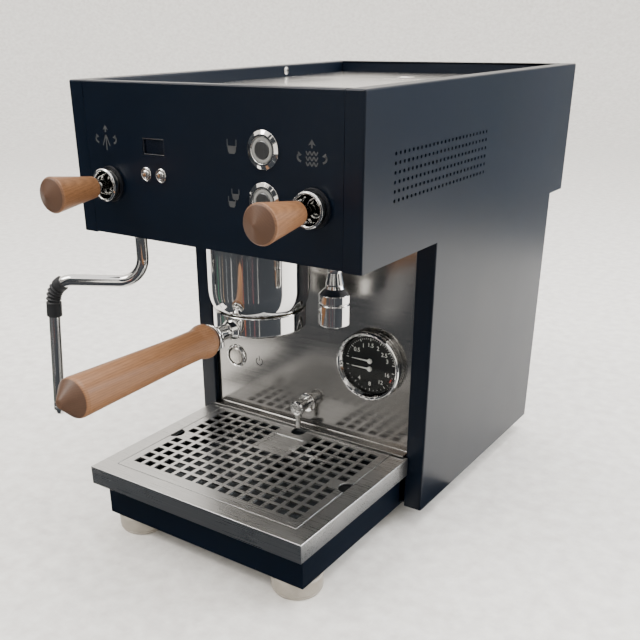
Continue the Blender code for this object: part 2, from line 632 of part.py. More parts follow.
# ---- brew group and portafilter -------------------------------------------------------------
def brew_group():
    bore = LUG_REACH + 2 * RUNNING_CLEARANCE
    flange_top = LUG_BOTTOM - GAP
    lip = RING_NECK_RADIUS + RUNNING_CLEARANCE
    step = GROUP_BOTTOM + 0.0076
    shoulder = step + 4 * GROUP_STEP
    profile = [(0, GROUP_TOP), (GROUP_RADIUS, GROUP_TOP), (GROUP_RADIUS, shoulder), (GROUP_SKIRT_RADIUS, step),
               (GROUP_SKIRT_RADIUS, GROUP_BOTTOM), (lip, GROUP_BOTTOM), (lip, flange_top), (bore, flange_top),
               (bore, GROUP_CEILING), (0, GROUP_CEILING)]
    group = turned("group_body", profile, (0, GROUP_Y, 0), BRASS)
    half_notch = LUG_WIDTH / 2 + 2 * RUNNING_CLEARANCE
    notch = box("bayonet_notch", (-bore, GROUP_Y - half_notch, GROUP_BOTTOM - SHEET),
                (bore, GROUP_Y + half_notch, flange_top + SHEET / 2))
    notch.rotation_euler = (0, 0, BAYONET_ENTRY)
    cut(group, notch)
    inner = COVER_RADIUS - COVER_WALL
    lower_inner = GROUP_SKIRT_RADIUS + GAP
    lower_outer = lower_inner + COVER_WALL
    cover = [(COVER_RADIUS, BODY_TOP), (COVER_RADIUS, shoulder), (COVER_RADIUS - 0.0004, step - 0.002),
             (lower_outer, GROUP_BOTTOM), (lower_inner, GROUP_BOTTOM), (lower_inner, step + 0.0005),
             (inner, shoulder + 0.001), (inner, BODY_TOP)]
    turned("group_cover", cover, (0, GROUP_Y, 0), CHROME, closed=True)
    cylinder("shower_screen", SCREEN_RADIUS, SCREEN_DEPTH, (0, GROUP_Y, GROUP_CEILING - GAP - SCREEN_DEPTH),
             finish=STEEL)


def portafilter():
    shoulder = GROUP_BOTTOM - GAP
    profile = [(RING_NECK_RADIUS, RING_TOP), (RING_NECK_RADIUS, shoulder), (RING_RADIUS, shoulder),
               (RING_RADIUS, RING_BOTTOM + 0.001), (RING_RADIUS - 0.001, RING_BOTTOM),
               (RING_BORE, RING_BOTTOM), (RING_BORE, RING_TOP)]
    ring = turned("portafilter_ring", profile, (0, GROUP_Y, 0), CHROME, closed=True)
    for index, side in enumerate((-1, 1)):
        low, high = cross_box(side, "lug", (RING_NECK_RADIUS - 0.002, LUG_REACH - 0.0005),
                              (GROUP_Y - LUG_WIDTH / 2, GROUP_Y + LUG_WIDTH / 2), (LUG_BOTTOM, LUG_TOP))
        join(ring, box(f"lug_{index}", low, high))
    neck_back = GROUP_Y - RING_RADIUS + 0.004
    neck_front = HANDLE_START + GAP
    neck_length = neck_back - neck_front
    neck = [(0, neck_length), (NECK_RADIUS, neck_length), (NECK_RADIUS, 0), (STUD_RADIUS, 0),
            (STUD_RADIUS, -STUD_LENGTH), (0, -STUD_LENGTH)]
    join(ring, turned("neck", neck, (0, neck_front, HANDLE_Z), None, ALONG_Y, COARSE))
    outer = RING_BORE - 2 * GAP
    rim_low = RING_TOP + GAP
    rim_top = rim_low + BASKET_RIM
    basket = [(RING_NECK_RADIUS - 0.0006, rim_top), (RING_NECK_RADIUS - 0.0006, rim_low), (outer, rim_low),
              (outer, BASKET_BOTTOM), (0, BASKET_BOTTOM), (0, BASKET_BOTTOM + BASKET_WALL),
              (outer - BASKET_WALL, BASKET_BOTTOM + BASKET_WALL), (outer - BASKET_WALL, rim_top)]
    turned("filter_basket", basket, (0, GROUP_Y, 0), STEEL, closed=True)
    waist = 0.80 * HANDLE_RADIUS
    bulge = 0.93 * HANDLE_RADIUS
    shape = [(0, 0), (0.8 * bulge, 0), (bulge, -0.003), (bulge, -0.009), (waist, -0.013), (waist, -0.035),
             (HANDLE_RADIUS, 0.014 - HANDLE_LENGTH), (0, -HANDLE_LENGTH)]
    handle = turned("portafilter_handle", shape, (0, HANDLE_START, HANDLE_Z), WOOD, ALONG_Y)
    cut(handle, cylinder("stud_bore", STUD_RADIUS + GAP, STUD_LENGTH + 0.003,
                         (0, HANDLE_START - STUD_LENGTH - 0.002, HANDLE_Z), ALONG_Y))


# ---- lever valves ---------------------------------------------------------------------------
def lever_valve(prefix, side):
    """A panel valve worked by a knob on a two-way pivot: up and down, left and right."""
    x = side * VALVE_X
    face = -COLLAR_DEPTH
    back = BARREL_LENGTH
    profile = [(0, back), (BARREL_RADIUS, back), (BARREL_RADIUS, -GAP), (COLLAR_RADIUS + 0.001, -GAP),
               (COLLAR_RADIUS + 0.001, -0.002), (COLLAR_RADIUS, -0.0025), (COLLAR_RADIUS, face + 0.0006),
               (COLLAR_RADIUS - 0.0006, face), (COLLAR_RADIUS - 0.0016, face), (0.0088, -0.0032),
               (DISH_HOLE, -0.001), (DISH_HOLE, 0.0005), (BARREL_BORE, 0.0005), (BARREL_BORE, 0.014), (0, 0.014)]
    valve = turned(f"{prefix}_valve", profile, (x, 0, VALVE_Z), CHROME, ALONG_Y)
    hole = PIVOT_PIN + PIN_CLEARANCE
    cut(valve, cylinder(f"{prefix}_pin_hole_x", hole, 2.4 * BARREL_RADIUS,
                        (x - 1.2 * BARREL_RADIUS, PIVOT_Y, VALVE_Z), ALONG_X))
    pivot = (x, PIVOT_Y, VALVE_Z)
    half = PIVOT_RING_LENGTH / 2
    ring_bore = LEVER_BALL + 0.0007
    ring = [(PIVOT_RING_RADIUS, half), (PIVOT_RING_RADIUS, -half), (ring_bore, -half), (ring_bore, half)]
    gimbal = turned(f"{prefix}_pivot_ring", ring, pivot, BRASS, ALONG_Y, COARSE, closed=True)
    pin_reach = BARREL_RADIUS - 0.0004
    for index, direction in enumerate((-1, 1)):
        start = x + direction * (pin_reach + PIVOT_RING_RADIUS - 0.001) / 2 - (pin_reach - PIVOT_RING_RADIUS + 0.001) / 2
        join(gimbal, cylinder(f"{prefix}_ring_pin_{index}", PIVOT_PIN, pin_reach - PIVOT_RING_RADIUS + 0.001,
                              (start, PIVOT_Y, VALVE_Z), ALONG_X, sides=10))
    cut(gimbal, cylinder(f"{prefix}_pin_hole_z", hole, 3 * PIVOT_RING_RADIUS,
                         (x, PIVOT_Y, VALVE_Z - 1.5 * PIVOT_RING_RADIUS), sides=10))
    ball = arc((0, 0), LEVER_BALL, 65, -45, 6)
    tang = 0.0015
    knob_face = -KNOB_START - PIVOT_Y
    stud = 0.015
    stem = [(0, 0.006), (tang, 0.006), *ball, (LEVER_STEM, knob_face + GAP), (LEVER_STEM - 0.0007, knob_face + GAP),
            (LEVER_STEM - 0.0007, knob_face - stud), (0, knob_face - stud)]
    lever = turned(f"{prefix}_lever", stem, pivot, CHROME, ALONG_Y, COARSE)
    pin_length = 2 * (PIVOT_RING_RADIUS - 0.0004)
    join(lever, cylinder(f"{prefix}_lever_pin", PIVOT_PIN, pin_length,
                         (x, PIVOT_Y, VALVE_Z - pin_length / 2), sides=10))
    rim = knob_face - KNOB_LENGTH
    knob_shape = [(0, knob_face), (KNOB_SMALL - 0.001, knob_face), (KNOB_SMALL, knob_face - 0.001),
                  (KNOB_LARGE, rim), (KNOB_LARGE - 0.0015, rim - 0.001), (0, rim - 0.006)]
    knob = turned(f"{prefix}_knob", knob_shape, pivot, WOOD, ALONG_Y)
    cut(knob, cylinder(f"{prefix}_knob_bore", LEVER_STEM - 0.0007 + GAP, stud + 0.003,
                       (x, -KNOB_START - stud - 0.002, VALVE_Z), ALONG_Y, sides=12))


# ---- steam wand and hot-water tap -----------------------------------------------------------
def wand_path():
    """The wand's centre line in its own plane, as (reach, height) from the ball's centre."""
    first = arc((WAND_FIRST_BEND, WAND_FIRST_BEND - WAND_DROP), WAND_FIRST_BEND, 180, 270, 6)
    second = arc((WAND_REACH - WAND_SECOND_BEND, -WAND_DROP - WAND_SECOND_BEND), WAND_SECOND_BEND, 90, 4, 6)
    end = (WAND_REACH + WAND_LEAN, TIP_LENGTH - WAND_LENGTH)
    return first, second, end


def in_wand_plane(points):
    across = Vector((math.cos(WAND_AZIMUTH), math.sin(WAND_AZIMUTH), 0))
    return [across * reach + Vector((0, 0, height)) for reach, height in points]


def steam_wand():
    pivot = Vector((-VALVE_X, WAND_Y, WAND_PIVOT_Z))
    first, second, end = wand_path()
    wand = tube("steam_wand", in_wand_plane([(0, 0), *first, *second, end]), WAND_TUBE, CHROME, pivot, 3)
    mesh = bpy.data.meshes.new("wand_ball")
    sphere = bmesh.new()
    bmesh.ops.create_uvsphere(sphere, u_segments=COARSE, v_segments=10, radius=WAND_BALL)
    sphere.to_mesh(mesh)
    sphere.free()
    join(wand, add_object("wand_ball", mesh, None, pivot))
    bend_start, bend_end = second[0], second[-1]
    fall = Vector((end[0] - bend_end[0], end[1] - bend_end[1])).normalized()
    last = (bend_end[0] + fall.x * GRIP_AFTER_BEND, bend_end[1] + fall.y * GRIP_AFTER_BEND)
    grip_line = [(bend_start[0] - GRIP_BEFORE_BEND, bend_start[1]), *second, last]
    grip = tube("steam_wand_grip", in_wand_plane(grip_line), GRIP_RADIUS, RUBBER, pivot, 3)
    beyond = (last[0] + fall.x * SHEET, last[1] + fall.y * SHEET)
    bore_line = [(grip_line[0][0] - SHEET, grip_line[0][1]), *second, beyond]
    cut(grip, tube("grip_bore", in_wand_plane(bore_line), WAND_TUBE + GAP, None, pivot, 3))
    tip_top = in_wand_plane([(end[0] + fall.x * GAP, end[1] + fall.y * GAP)])[0]
    profile = [(0, 0), (0.0046, 0), (0.0050, -0.003), (0.0050, -0.007), (0.0028, -TIP_LENGTH), (0, -TIP_LENGTH)]
    tip = turned("steam_tip", profile, pivot + tip_top, CHROME, sides=COARSE)
    tip.rotation_euler = in_wand_plane([(-fall.x, -fall.y)])[0].to_track_quat("Z", "X").to_euler()
    seat_radius = WAND_BALL + 0.0023
    seat_bore = WAND_BALL + 0.0004
    seat = [(seat_radius, 0.0035), (seat_radius, -0.0035), (seat_bore, -0.0035), (seat_bore, 0.0035)]
    turned("steam_ball_seat", seat, pivot, PLASTIC, sides=COARSE, closed=True)
    nut_outer = seat_radius + 0.0024
    nut_bore = seat_radius + 0.0004
    low = FLOOR_TOP + GAP - WAND_PIVOT_Z
    high = 0.009
    nut = [(0, high), (nut_outer, high), (nut_outer, low), (WAND_HOLE, low), (WAND_HOLE, low + 0.0017),
           (nut_bore, low + 0.0035), (nut_bore, high - 0.0015), (0, high - 0.0015)]
    turned("steam_ball_nut", nut, pivot, BRASS, sides=COARSE)


def water_tap():
    top = FLOOR_TOP + 0.008
    nut = TAP_NECK + 0.0043
    shoulder = TAP_BOTTOM + TAP_HEIGHT
    mouth = 0.8 * TAP_RADIUS
    profile = [(0, top), (nut, top), (nut, FLOOR_TOP + GAP), (TAP_NECK, FLOOR_TOP + GAP),
               (TAP_NECK, HEAD_BOTTOM - 0.010), (1.28 * TAP_NECK, shoulder + 0.005), (TAP_RADIUS, shoulder),
               (TAP_RADIUS, TAP_BOTTOM), (mouth, TAP_BOTTOM), (mouth, TAP_BOTTOM + 0.012), (0, TAP_BOTTOM + 0.012)]
    turned("water_tap", profile, (VALVE_X, TAP_Y, 0), CHROME)


# ---- pressure gauge -------------------------------------------------------------------------
def pressure_gauge():
    front = SPLASH_Y - GAUGE_PROUD
    collar = GAUGE_PROUD - GAP
    back = GAUGE_PROUD + GAUGE_BARREL_LENGTH
    edge = 0.002
    profile = [(0, back), (GAUGE_BARREL, back), (GAUGE_BARREL, collar), (GAUGE_RADIUS, collar),
               (GAUGE_RADIUS, edge), (GAUGE_RADIUS - edge, 0), (GAUGE_BORE, 0), (GAUGE_BORE, back - edge),
               (0, back - edge)]
    turned("gauge_case", profile, (GAUGE_X, front, GAUGE_Z), CHROME, ALONG_Y)
    disc = GAUGE_BORE - GAP
    cylinder("gauge_lens", disc, 0.0012, (GAUGE_X, front + 0.0012, GAUGE_Z), ALONG_Y, GLASS, FINE)
    dial_face = 0.0064
    plate = cylinder("gauge_dial", disc, 0.001, (GAUGE_X, front + dial_face, GAUGE_Z), ALONG_Y, DIAL, FINE)
    for name, lift in (("steam", NEEDLE_SPACING / 2), ("brew", -NEEDLE_SPACING / 2)):
        axis = (GAUGE_X, front, GAUGE_Z + lift)
        axle = 0.0008
        cut(plate, cylinder(f"{name}_axle_hole", axle + PIN_CLEARANCE, 0.004,
                            (GAUGE_X, front + dial_face - 0.001, GAUGE_Z + lift), ALONG_Y, sides=12))
        hub = [(0, 0.0090), (axle, 0.0090), (axle, 0.0060), (NEEDLE_HUB, 0.0060), (NEEDLE_HUB, 0.0048),
               (0.7 * NEEDLE_HUB, 0.0038), (0, 0.0036)]
        needle = turned(f"{name}_needle", hub, axis, WHITE, ALONG_Y, 12)
        join(needle, box(f"{name}_pointer", (GAUGE_X - NEEDLE_LENGTH, front + 0.0051, axis[2] - 0.0006),
                         (GAUGE_X - NEEDLE_HUB / 2, front + 0.0058, axis[2] + 0.0006)))


# ---- buttons and display --------------------------------------------------------------------
def push_button(prefix, x, y, z, bezel_radius):
    """A round bezel through a panel whose face is at y, with its button standing in it."""
    bore = BUTTON_RADIUS + BUTTON_CLEARANCE
    barrel = bore + BUTTON_WALL
    edge = 0.0015
    bezel = [(barrel, BEZEL_BARREL_LENGTH), (barrel, -GAP), (bezel_radius, -GAP), (bezel_radius, -0.001),
             (bezel_radius - edge, -BEZEL_PROUD), (bore, -BEZEL_PROUD), (bore, BEZEL_BARREL_LENGTH)]
    turned(f"{prefix}_bezel", bezel, (x, y, z), CHROME, ALONG_Y, COARSE, closed=True)
    face = -BEZEL_PROUD + 0.0002
    button = [(0, 0.009), (BUTTON_RADIUS, 0.009), (BUTTON_RADIUS, face + 0.0004),
              (BUTTON_RADIUS - 0.0004, face), (0, face)]
    turned(f"{prefix}_button", button, (x, y, z), STEEL, ALONG_Y, COARSE)


def controls():
    for prefix, height in zip(("one_cup", "two_cup"), CUP_BUTTON_Z):
        push_button(prefix, CUP_X, 0, height, BEZEL_RADIUS)
    push_button("power", POWER_X, SPLASH_Y, POWER_Z, POWER_BEZEL_RADIUS)
    catch = SHEET + GAP
    dome = [(0, 0.006), (MENU_RADIUS + 0.001, 0.006), (MENU_RADIUS + 0.001, catch), (MENU_RADIUS, catch),
            (MENU_RADIUS, -0.0012), (0.8 * MENU_RADIUS, -0.0022), (0.4 * MENU_RADIUS, -0.0028), (0, -0.003)]
    for name, offset in zip(("menu_button_left", "menu_button_right"), MENU_FROM_VALVE):
        turned(name, dome, (offset - VALVE_X, 0, MENU_Z), CHROME, ALONG_Y, COARSE)
    box("display_window", (DISPLAY_X - DISPLAY_WIDTH / 2, -0.0004, DISPLAY_Z - DISPLAY_HEIGHT / 2),
        (DISPLAY_X + DISPLAY_WIDTH / 2, 0.006, DISPLAY_Z + DISPLAY_HEIGHT / 2), DIAL)


# ---- inside ---------------------------------------------------------------------------------
def boiler_profile(radius, length):
    """A drum's cross-section, from its far end down to its near end, with a port in the far end."""
    inner = radius - BOILER_WALL
    return [(BOILER_PORT, length), (radius, length), (radius, 0), (0, 0), (0, BOILER_WALL),
            (inner, BOILER_WALL), (inner, length - BOILER_WALL), (BOILER_PORT, length - BOILER_WALL)]


def boilers():
    base = GROUP_TOP + GAP
    turned("brew_boiler", boiler_profile(BREW_BOILER_RADIUS, DECK_BOTTOM - BREW_BOILER_HEADROOM - base),
           (0, GROUP_Y, base), COPPER, closed=True)
    bottom = FLOOR_TOP + GAP
    radius = (DECK_BOTTOM - STEAM_BOILER_HEADROOM - bottom - SADDLE_HEIGHT) / 2
    height = bottom + SADDLE_HEIGHT + radius
    drum = turned("steam_boiler", boiler_profile(radius, STEAM_BOILER_LENGTH),
                  (-STEAM_BOILER_LENGTH / 2, STEAM_BOILER_Y, height), COPPER, ALONG_X, closed=True)
    for index, side in enumerate((-1, 1)):
        x = side * STEAM_BOILER_LENGTH / 3
        join(drum, box(f"saddle_{index}", (x - 0.006, STEAM_BOILER_Y - 0.003, bottom),
                       (x + 0.006, STEAM_BOILER_Y + 0.003, bottom + SADDLE_HEIGHT + BOILER_WALL / 2)))


def pump():
    height = BASE_FLOOR_TOP + GAP + PUMP_RADIUS + 0.006
    nose = 0.012
    profile = [(0, PUMP_LENGTH), (0.5 * PUMP_RADIUS, PUMP_LENGTH), (0.5 * PUMP_RADIUS, PUMP_LENGTH - nose),
               (PUMP_RADIUS, PUMP_LENGTH - nose), (PUMP_RADIUS, nose), (0.4 * PUMP_RADIUS, nose),
               (0.4 * PUMP_RADIUS, 0), (0, 0)]
    body = turned("pump", profile, (PUMP_X, PUMP_FRONT, height), PLASTIC, ALONG_Y, COARSE)
    join(body, box("pump_foot", (PUMP_X - 0.020, PUMP_FRONT + 2 * nose, BASE_FLOOR_TOP + GAP),
                   (PUMP_X + 0.020, PUMP_FRONT + PUMP_LENGTH - 2 * nose, height - 0.5 * PUMP_RADIUS)))


def electrics():
    left = SHEET - POST_INNER
    front = SPLASH_BACK + GAP
    box("control_box", (left, front, CONTROL_BOTTOM),
        (left + CONTROL_WIDTH, front + CONTROL_DEPTH, HEAD_BOTTOM - CONTROL_HEADROOM), PLASTIC)
    half_w, half_h = INLET_WIDTH / 2, INLET_HEIGHT / 2
    face = BODY_BACK + SHEET + GAP
    inlet = box("power_inlet", (INLET_X - half_w, BODY_BACK - INLET_DEPTH, INLET_Z - half_h),
                (INLET_X + half_w, face, INLET_Z + half_h), PLASTIC)
    join(inlet, box("inlet_flange", (INLET_X - half_w - INLET_FLANGE, BODY_BACK + GAP, INLET_Z - half_h - 0.002),
                    (INLET_X + half_w + INLET_FLANGE, face, INLET_Z + half_h + 0.002)))
    cut(inlet, box("inlet_socket", (INLET_X - half_w + 0.003, BODY_BACK - INLET_DEPTH + 0.004, INLET_Z - half_h + 0.003),
                   (INLET_X + half_w - 0.003, face + SHEET, INLET_Z + half_h - 0.003)))


def water_tank():
    half = TANK_WIDTH / 2
    bottom = BASE_FLOOR_TOP + GAP
    back = BODY_BACK - SHEET - TANK_BACK_CLEARANCE
    tank = box("water_tank", (-half, TANK_FRONT, bottom), (half, back, TANK_TOP), TANK)
    cut(tank, box("tank_hollow", (TANK_WALL - half, TANK_FRONT + TANK_WALL, bottom + TANK_WALL),
                  (half - TANK_WALL, back - TANK_WALL, TANK_TOP + SHEET)))


def stand_on_origin():
    """Shift the root so that the middle of the finished footprint is at the origin."""
    bpy.context.view_layer.update()
    graph = bpy.context.evaluated_depsgraph_get()
    low = Vector((math.inf,) * 3)
    high = Vector((-math.inf,) * 3)
    for part in PARTS.objects:
        if part.type != "MESH":
            continue
        shape = part.evaluated_get(graph)
        for vertex in shape.data.vertices:
            place = shape.matrix_world @ vertex.co
            low = Vector(map(min, low, place))
            high = Vector(map(max, high, place))
    ROOT.location = (-(low.x + high.x) / 2, -(low.y + high.y) / 2, -low.z)


def build():
    head_side_cover("upper_left_cover", -1)
    head_side_cover("upper_right_cover", 1)
    front_panel()
    head_rear_cover()
    head_floor()
    top_plates()
    body_side_cover("lower_left_cover", -1)
    body_side_cover("lower_right_cover", 1)
    body_rear_cover()
    splash_panel()
    base_frame()
    feet()
    tray_surround()
    tray_pan()
    tray_grid()
    drain_spout()
    brew_group()
    portafilter()
    lever_valve("steam", -1)
    lever_valve("water", 1)
    steam_wand()
    water_tap()
    pressure_gauge()
    controls()
    boilers()
    pump()
    electrics()
    water_tank()
    stand_on_origin()


build()
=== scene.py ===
"""Looks of the espresso machine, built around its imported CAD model.

Metres, +Z up.  Shapes are laid out in the machine's own coordinates, which are the frame's moved by
ORIGIN: X = 0 is its plane of symmetry (+X to the right of someone facing it), Y = 0 the front of the
head (+Y to the rear) and Z = 0 the table.
"""
import math

import bmesh
import bpy
from mathutils import Matrix, Vector


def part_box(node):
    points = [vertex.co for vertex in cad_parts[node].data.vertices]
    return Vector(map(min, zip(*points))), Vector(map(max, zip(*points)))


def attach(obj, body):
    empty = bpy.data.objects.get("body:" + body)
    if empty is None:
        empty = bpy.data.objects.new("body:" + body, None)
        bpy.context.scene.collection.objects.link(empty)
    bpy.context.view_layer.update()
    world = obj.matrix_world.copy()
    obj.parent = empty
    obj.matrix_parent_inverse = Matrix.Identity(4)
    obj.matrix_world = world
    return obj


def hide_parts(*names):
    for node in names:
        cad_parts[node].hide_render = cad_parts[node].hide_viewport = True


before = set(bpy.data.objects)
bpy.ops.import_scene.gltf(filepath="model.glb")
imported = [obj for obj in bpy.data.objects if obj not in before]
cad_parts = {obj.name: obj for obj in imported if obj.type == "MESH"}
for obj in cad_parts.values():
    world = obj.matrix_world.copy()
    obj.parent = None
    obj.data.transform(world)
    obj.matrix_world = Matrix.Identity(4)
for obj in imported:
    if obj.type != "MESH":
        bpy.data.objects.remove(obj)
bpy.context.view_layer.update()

ORIGIN = Vector(((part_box("upper_left_cover")[0].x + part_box("upper_right_cover")[1].x) / 2,
    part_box("front_panel")[0].y, 0))


def link(thing):
    bpy.context.scene.collection.objects.link(thing)


def span(node):
    """Lowest and highest corner of a CAD node, in the machine's coordinates."""
    low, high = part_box(node)
    return low - ORIGIN, high - ORIGIN


def middle(node):
    low, high = span(node)
    return (low + high) / 2


# ---- material helpers ----
def finish(name, colour, roughness, metallic=0.0, **sockets):
    """A material with a Principled shader; socket names have _ for a space."""
    made = bpy.data.materials.new(name)
    made.use_nodes = True
    shader = made.node_tree.nodes["Principled BSDF"]
    shader.inputs["Base Color"].default_value = (*colour, 1)
    shader.inputs["Roughness"].default_value = roughness
    shader.inputs["Metallic"].default_value = metallic
    for socket, value in sockets.items():
        shader.inputs[socket.replace("_", " ")].default_value = value
    made.diffuse_color = (*colour, 1)
    return made


def node(made, kind, settings=(), **inputs):
    """A shader node with its settings, and its inputs as values or as sockets to link."""
    new = made.node_tree.nodes.new("ShaderNode" + kind)
    for key, value in dict(settings).items():
        setattr(new, key, value)
    for key, value in inputs.items():
        target = new.inputs[int(key[1:])] if key[1:].isdigit() else new.inputs[key.replace("_", " ")]
        if isinstance(value, bpy.types.NodeSocket):
            made.node_tree.links.new(value, target)
        else:
            target.default_value = value
    return new


def shader_of(made):
    return made.node_tree.nodes["Principled BSDF"]


def feed(made, socket, value):
    made.node_tree.links.new(value, shader_of(made).inputs[socket])


def places(made, stretch=(1, 1, 1), turn=(0, 0, 0)):
    """Object coordinates, in metres, stretched along the axes."""
    source = node(made, "TexCoord").outputs["Object"]
    return node(made, "Mapping", Vector=source, Scale=stretch, Rotation=turn).outputs[0]


def noise(made, where, scale, detail=3.0, roughness=0.5, distortion=0.0):
    return node(made, "TexNoise", Vector=where, Scale=scale, Detail=detail, Roughness=roughness,
        Distortion=distortion).outputs["Fac"]


def spread(made, value, low, high, start=0.3, end=0.7):
    return node(made, "MapRange", Value=value, From_Min=start, From_Max=end, To_Min=low,
        To_Max=high).outputs["Result"]


def ramp(made, value, *stops):
    """A colour ramp through (position, colour) stops."""
    new = node(made, "ValToRGB", Fac=value)
    points = new.color_ramp.elements
    while len(points) < len(stops):
        points.new(0.5)
    for point, (position, colour) in zip(points, stops):
        point.position = position
        point.color = (*colour, 1)
    return new.outputs["Color"]


def blend_colour(made, factor, first, second, kind="MIX"):
    new = node(made, "Mix", {"data_type": "RGBA", "blend_type": kind}, _0=factor)
    for index, value in ((6, first), (7, second)):
        if isinstance(value, bpy.types.NodeSocket):
            made.node_tree.links.new(value, new.inputs[index])
        else:
            new.inputs[index].default_value = (*value, 1)
    return new.outputs[2]


def shades(made, value, colour, dark, light, start=0.3, end=0.7):
    """The colour, darker and lighter by two factors where the value is low and high."""
    stops = [(at, [min(1, factor * c) for c in colour]) for at, factor in ((start, dark), (end, light))]
    feed(made, "Base Color", ramp(made, value, *stops))


def math_of(made, operation, first, second=0.0):
    return node(made, "Math", {"operation": operation}, _0=first, _1=second).outputs[0]


def bump(made, height, strength, distance=0.0001, normal=None):
    inputs = {"Height": height, "Strength": strength, "Distance": distance}
    if normal is not None:
        inputs["Normal"] = normal
    return node(made, "Bump", **inputs).outputs["Normal"]


# ---- materials ----
def powder_coat(name, colour, roughness):
    """Satin powder coat: orange peel, a fine tooth, and faint handling marks in the gloss."""
    made = finish(name, colour, roughness, Specular_IOR_Level=0.30)
    where = places(made)
    peel = bump(made, noise(made, where, 900, 2), 0.10, 0.0001)
    tooth = bump(made, noise(made, where, 5200, 2), 0.16, 0.00003, peel)
    feed(made, "Normal", tooth)
    marks = noise(made, where, 14, 5, 0.6, 0.4)
    feed(made, "Roughness", spread(made, marks, roughness - 0.014, roughness + 0.022))
    shades(made, noise(made, where, 6, 3), colour, 0.88, 1.15, 0.35, 0.68)
    return made


def brushed(name, colour, roughness, along, depth=0.12):
    """Metal with a brushed grain along one axis (0, 1 or 2)."""
    made = finish(name, colour, roughness, 1.0)
    stretch = [1.0, 1.0, 1.0]
    stretch[along] = 0.012
    where = places(made, stretch)
    coarse = noise(made, where, 1500, 3, 0.65)
    fine = noise(made, where, 6500, 2, 0.6)
    feed(made, "Normal", bump(made, fine, depth, 0.00003, bump(made, coarse, depth, 0.00005)))
    clouds = noise(made, places(made), 18, 4, 0.55, 0.3)
    grain = spread(made, coarse, roughness - 0.025, roughness + 0.04)
    feed(made, "Roughness", math_of(made, "ADD", grain, spread(made, clouds, -0.02, 0.035)))
    shades(made, coarse, colour, 0.86, 1.06)
    return made


def polished(name, colour, roughness=0.05):
    """Chrome plate with faint wiping haze and hairline scratches."""
    made = finish(name, colour, roughness, 1.0)
    where = places(made)
    haze = noise(made, where, 60, 5, 0.6, 0.5)
    feed(made, "Roughness", spread(made, haze, roughness - 0.02, roughness + 0.05))
    hairs = noise(made, places(made, (1, 0.04, 0.5), (0.3, 0.2, 0.5)), 3000, 2)
    feed(made, "Normal", bump(made, hairs, 0.03, 0.00001))
    shades(made, haze, colour, 0.95, 1)
    return made


def beech(name, axis_point):
    """Oiled beech with its grain along Y, and darker, duller end grain; its darkening is partly painted
    shade.
    """
    made = finish(name, (0.5, 0.27, 0.13), 0.42, Specular_IOR_Level=0.4)
    source = node(made, "TexCoord").outputs["Object"]
    local = node(made, "VectorMath", {"operation": "SUBTRACT"}, _0=source, _1=axis_point).outputs[0]
    along = node(made, "Mapping", Vector=local, Scale=(1, 0.05, 1)).outputs[0]
    waver = noise(made, along, 90, 3, 0.5)
    shifted = node(made, "VectorMath", {"operation": "MULTIPLY_ADD"}, _0=(0.006, 0.0, 0.006)).outputs[0]
    made.node_tree.links.new(waver, shifted.node.inputs[1])
    made.node_tree.links.new(along, shifted.node.inputs[2])
    rings = node(made, "TexWave", {"wave_type": "RINGS", "rings_direction": "Y"}, Vector=shifted, Scale=210,
        Distortion=2.2, Detail=3, Detail_Scale=1.4, Detail_Roughness=0.6).outputs["Fac"]
    fibres = noise(made, node(made, "Mapping", Vector=local, Scale=(1, 0.022, 1)).outputs[0], 3200, 3, 0.7)
    flecks = noise(made, node(made, "Mapping", Vector=local, Scale=(1, 0.09, 1)).outputs[0], 1500, 2, 0.5)
    base = ramp(made, rings, (0.0, (0.270, 0.132, 0.060)), (0.55, (0.225, 0.104, 0.044)),
        (1.0, (0.155, 0.067, 0.027)))
    toned = blend_colour(made, 0.55, base, ramp(made, fibres, (0.3, (0.120, 0.051, 0.020)),
        (0.6, (0.290, 0.147, 0.070))))
    pores = spread(made, flecks, 0.0, 0.75, 0.66, 0.76)
    pored = blend_colour(made, pores, toned, (0.13, 0.058, 0.026))
    clouds = ramp(made, noise(made, along, 40, 3), (0.3, (0.82, 0.80, 0.78)), (0.7, (1.0, 1.0, 1.0)))
    clouded = blend_colour(made, 1.0, pored, clouds, "MULTIPLY")
    # Painted shade: faces turned along Y, the end grain and the end cones of the handle and knobs, are
    # darkened, partly as real end grain and partly as shade.
    facing = node(made, "SeparateXYZ", _0=node(made, "NewGeometry").outputs["True Normal"]).outputs["Y"]
    end = spread(made, math_of(made, "ABSOLUTE", facing), 0.0, 0.80, 0.50, 0.68)
    feed(made, "Base Color", blend_colour(made, end, clouded,
        blend_colour(made, 0.3, (0.062, 0.034, 0.024), clouded, "MULTIPLY")))
    feed(made, "Roughness", spread(made, fibres, 0.36, 0.52))
    feed(made, "Normal", bump(made, pores, -0.25, 0.00008, bump(made, fibres, 0.18, 0.00006)))
    return made


def moulded(name, colour, roughness, grain=2600, depth=0.12, **sockets):
    """Moulded rubber or plastic with a fine spark-eroded grain."""
    made = finish(name, colour, roughness, **sockets)
    where = places(made)
    fine = noise(made, where, grain, 3, 0.6)
    feed(made, "Normal", bump(made, fine, depth, 0.00006))
    wear = noise(made, where, 70, 4, 0.6)
    feed(made, "Roughness", spread(made, wear, roughness - 0.07, roughness + 0.07))
    shades(made, wear, colour, 0.86, 1.1)
    return made


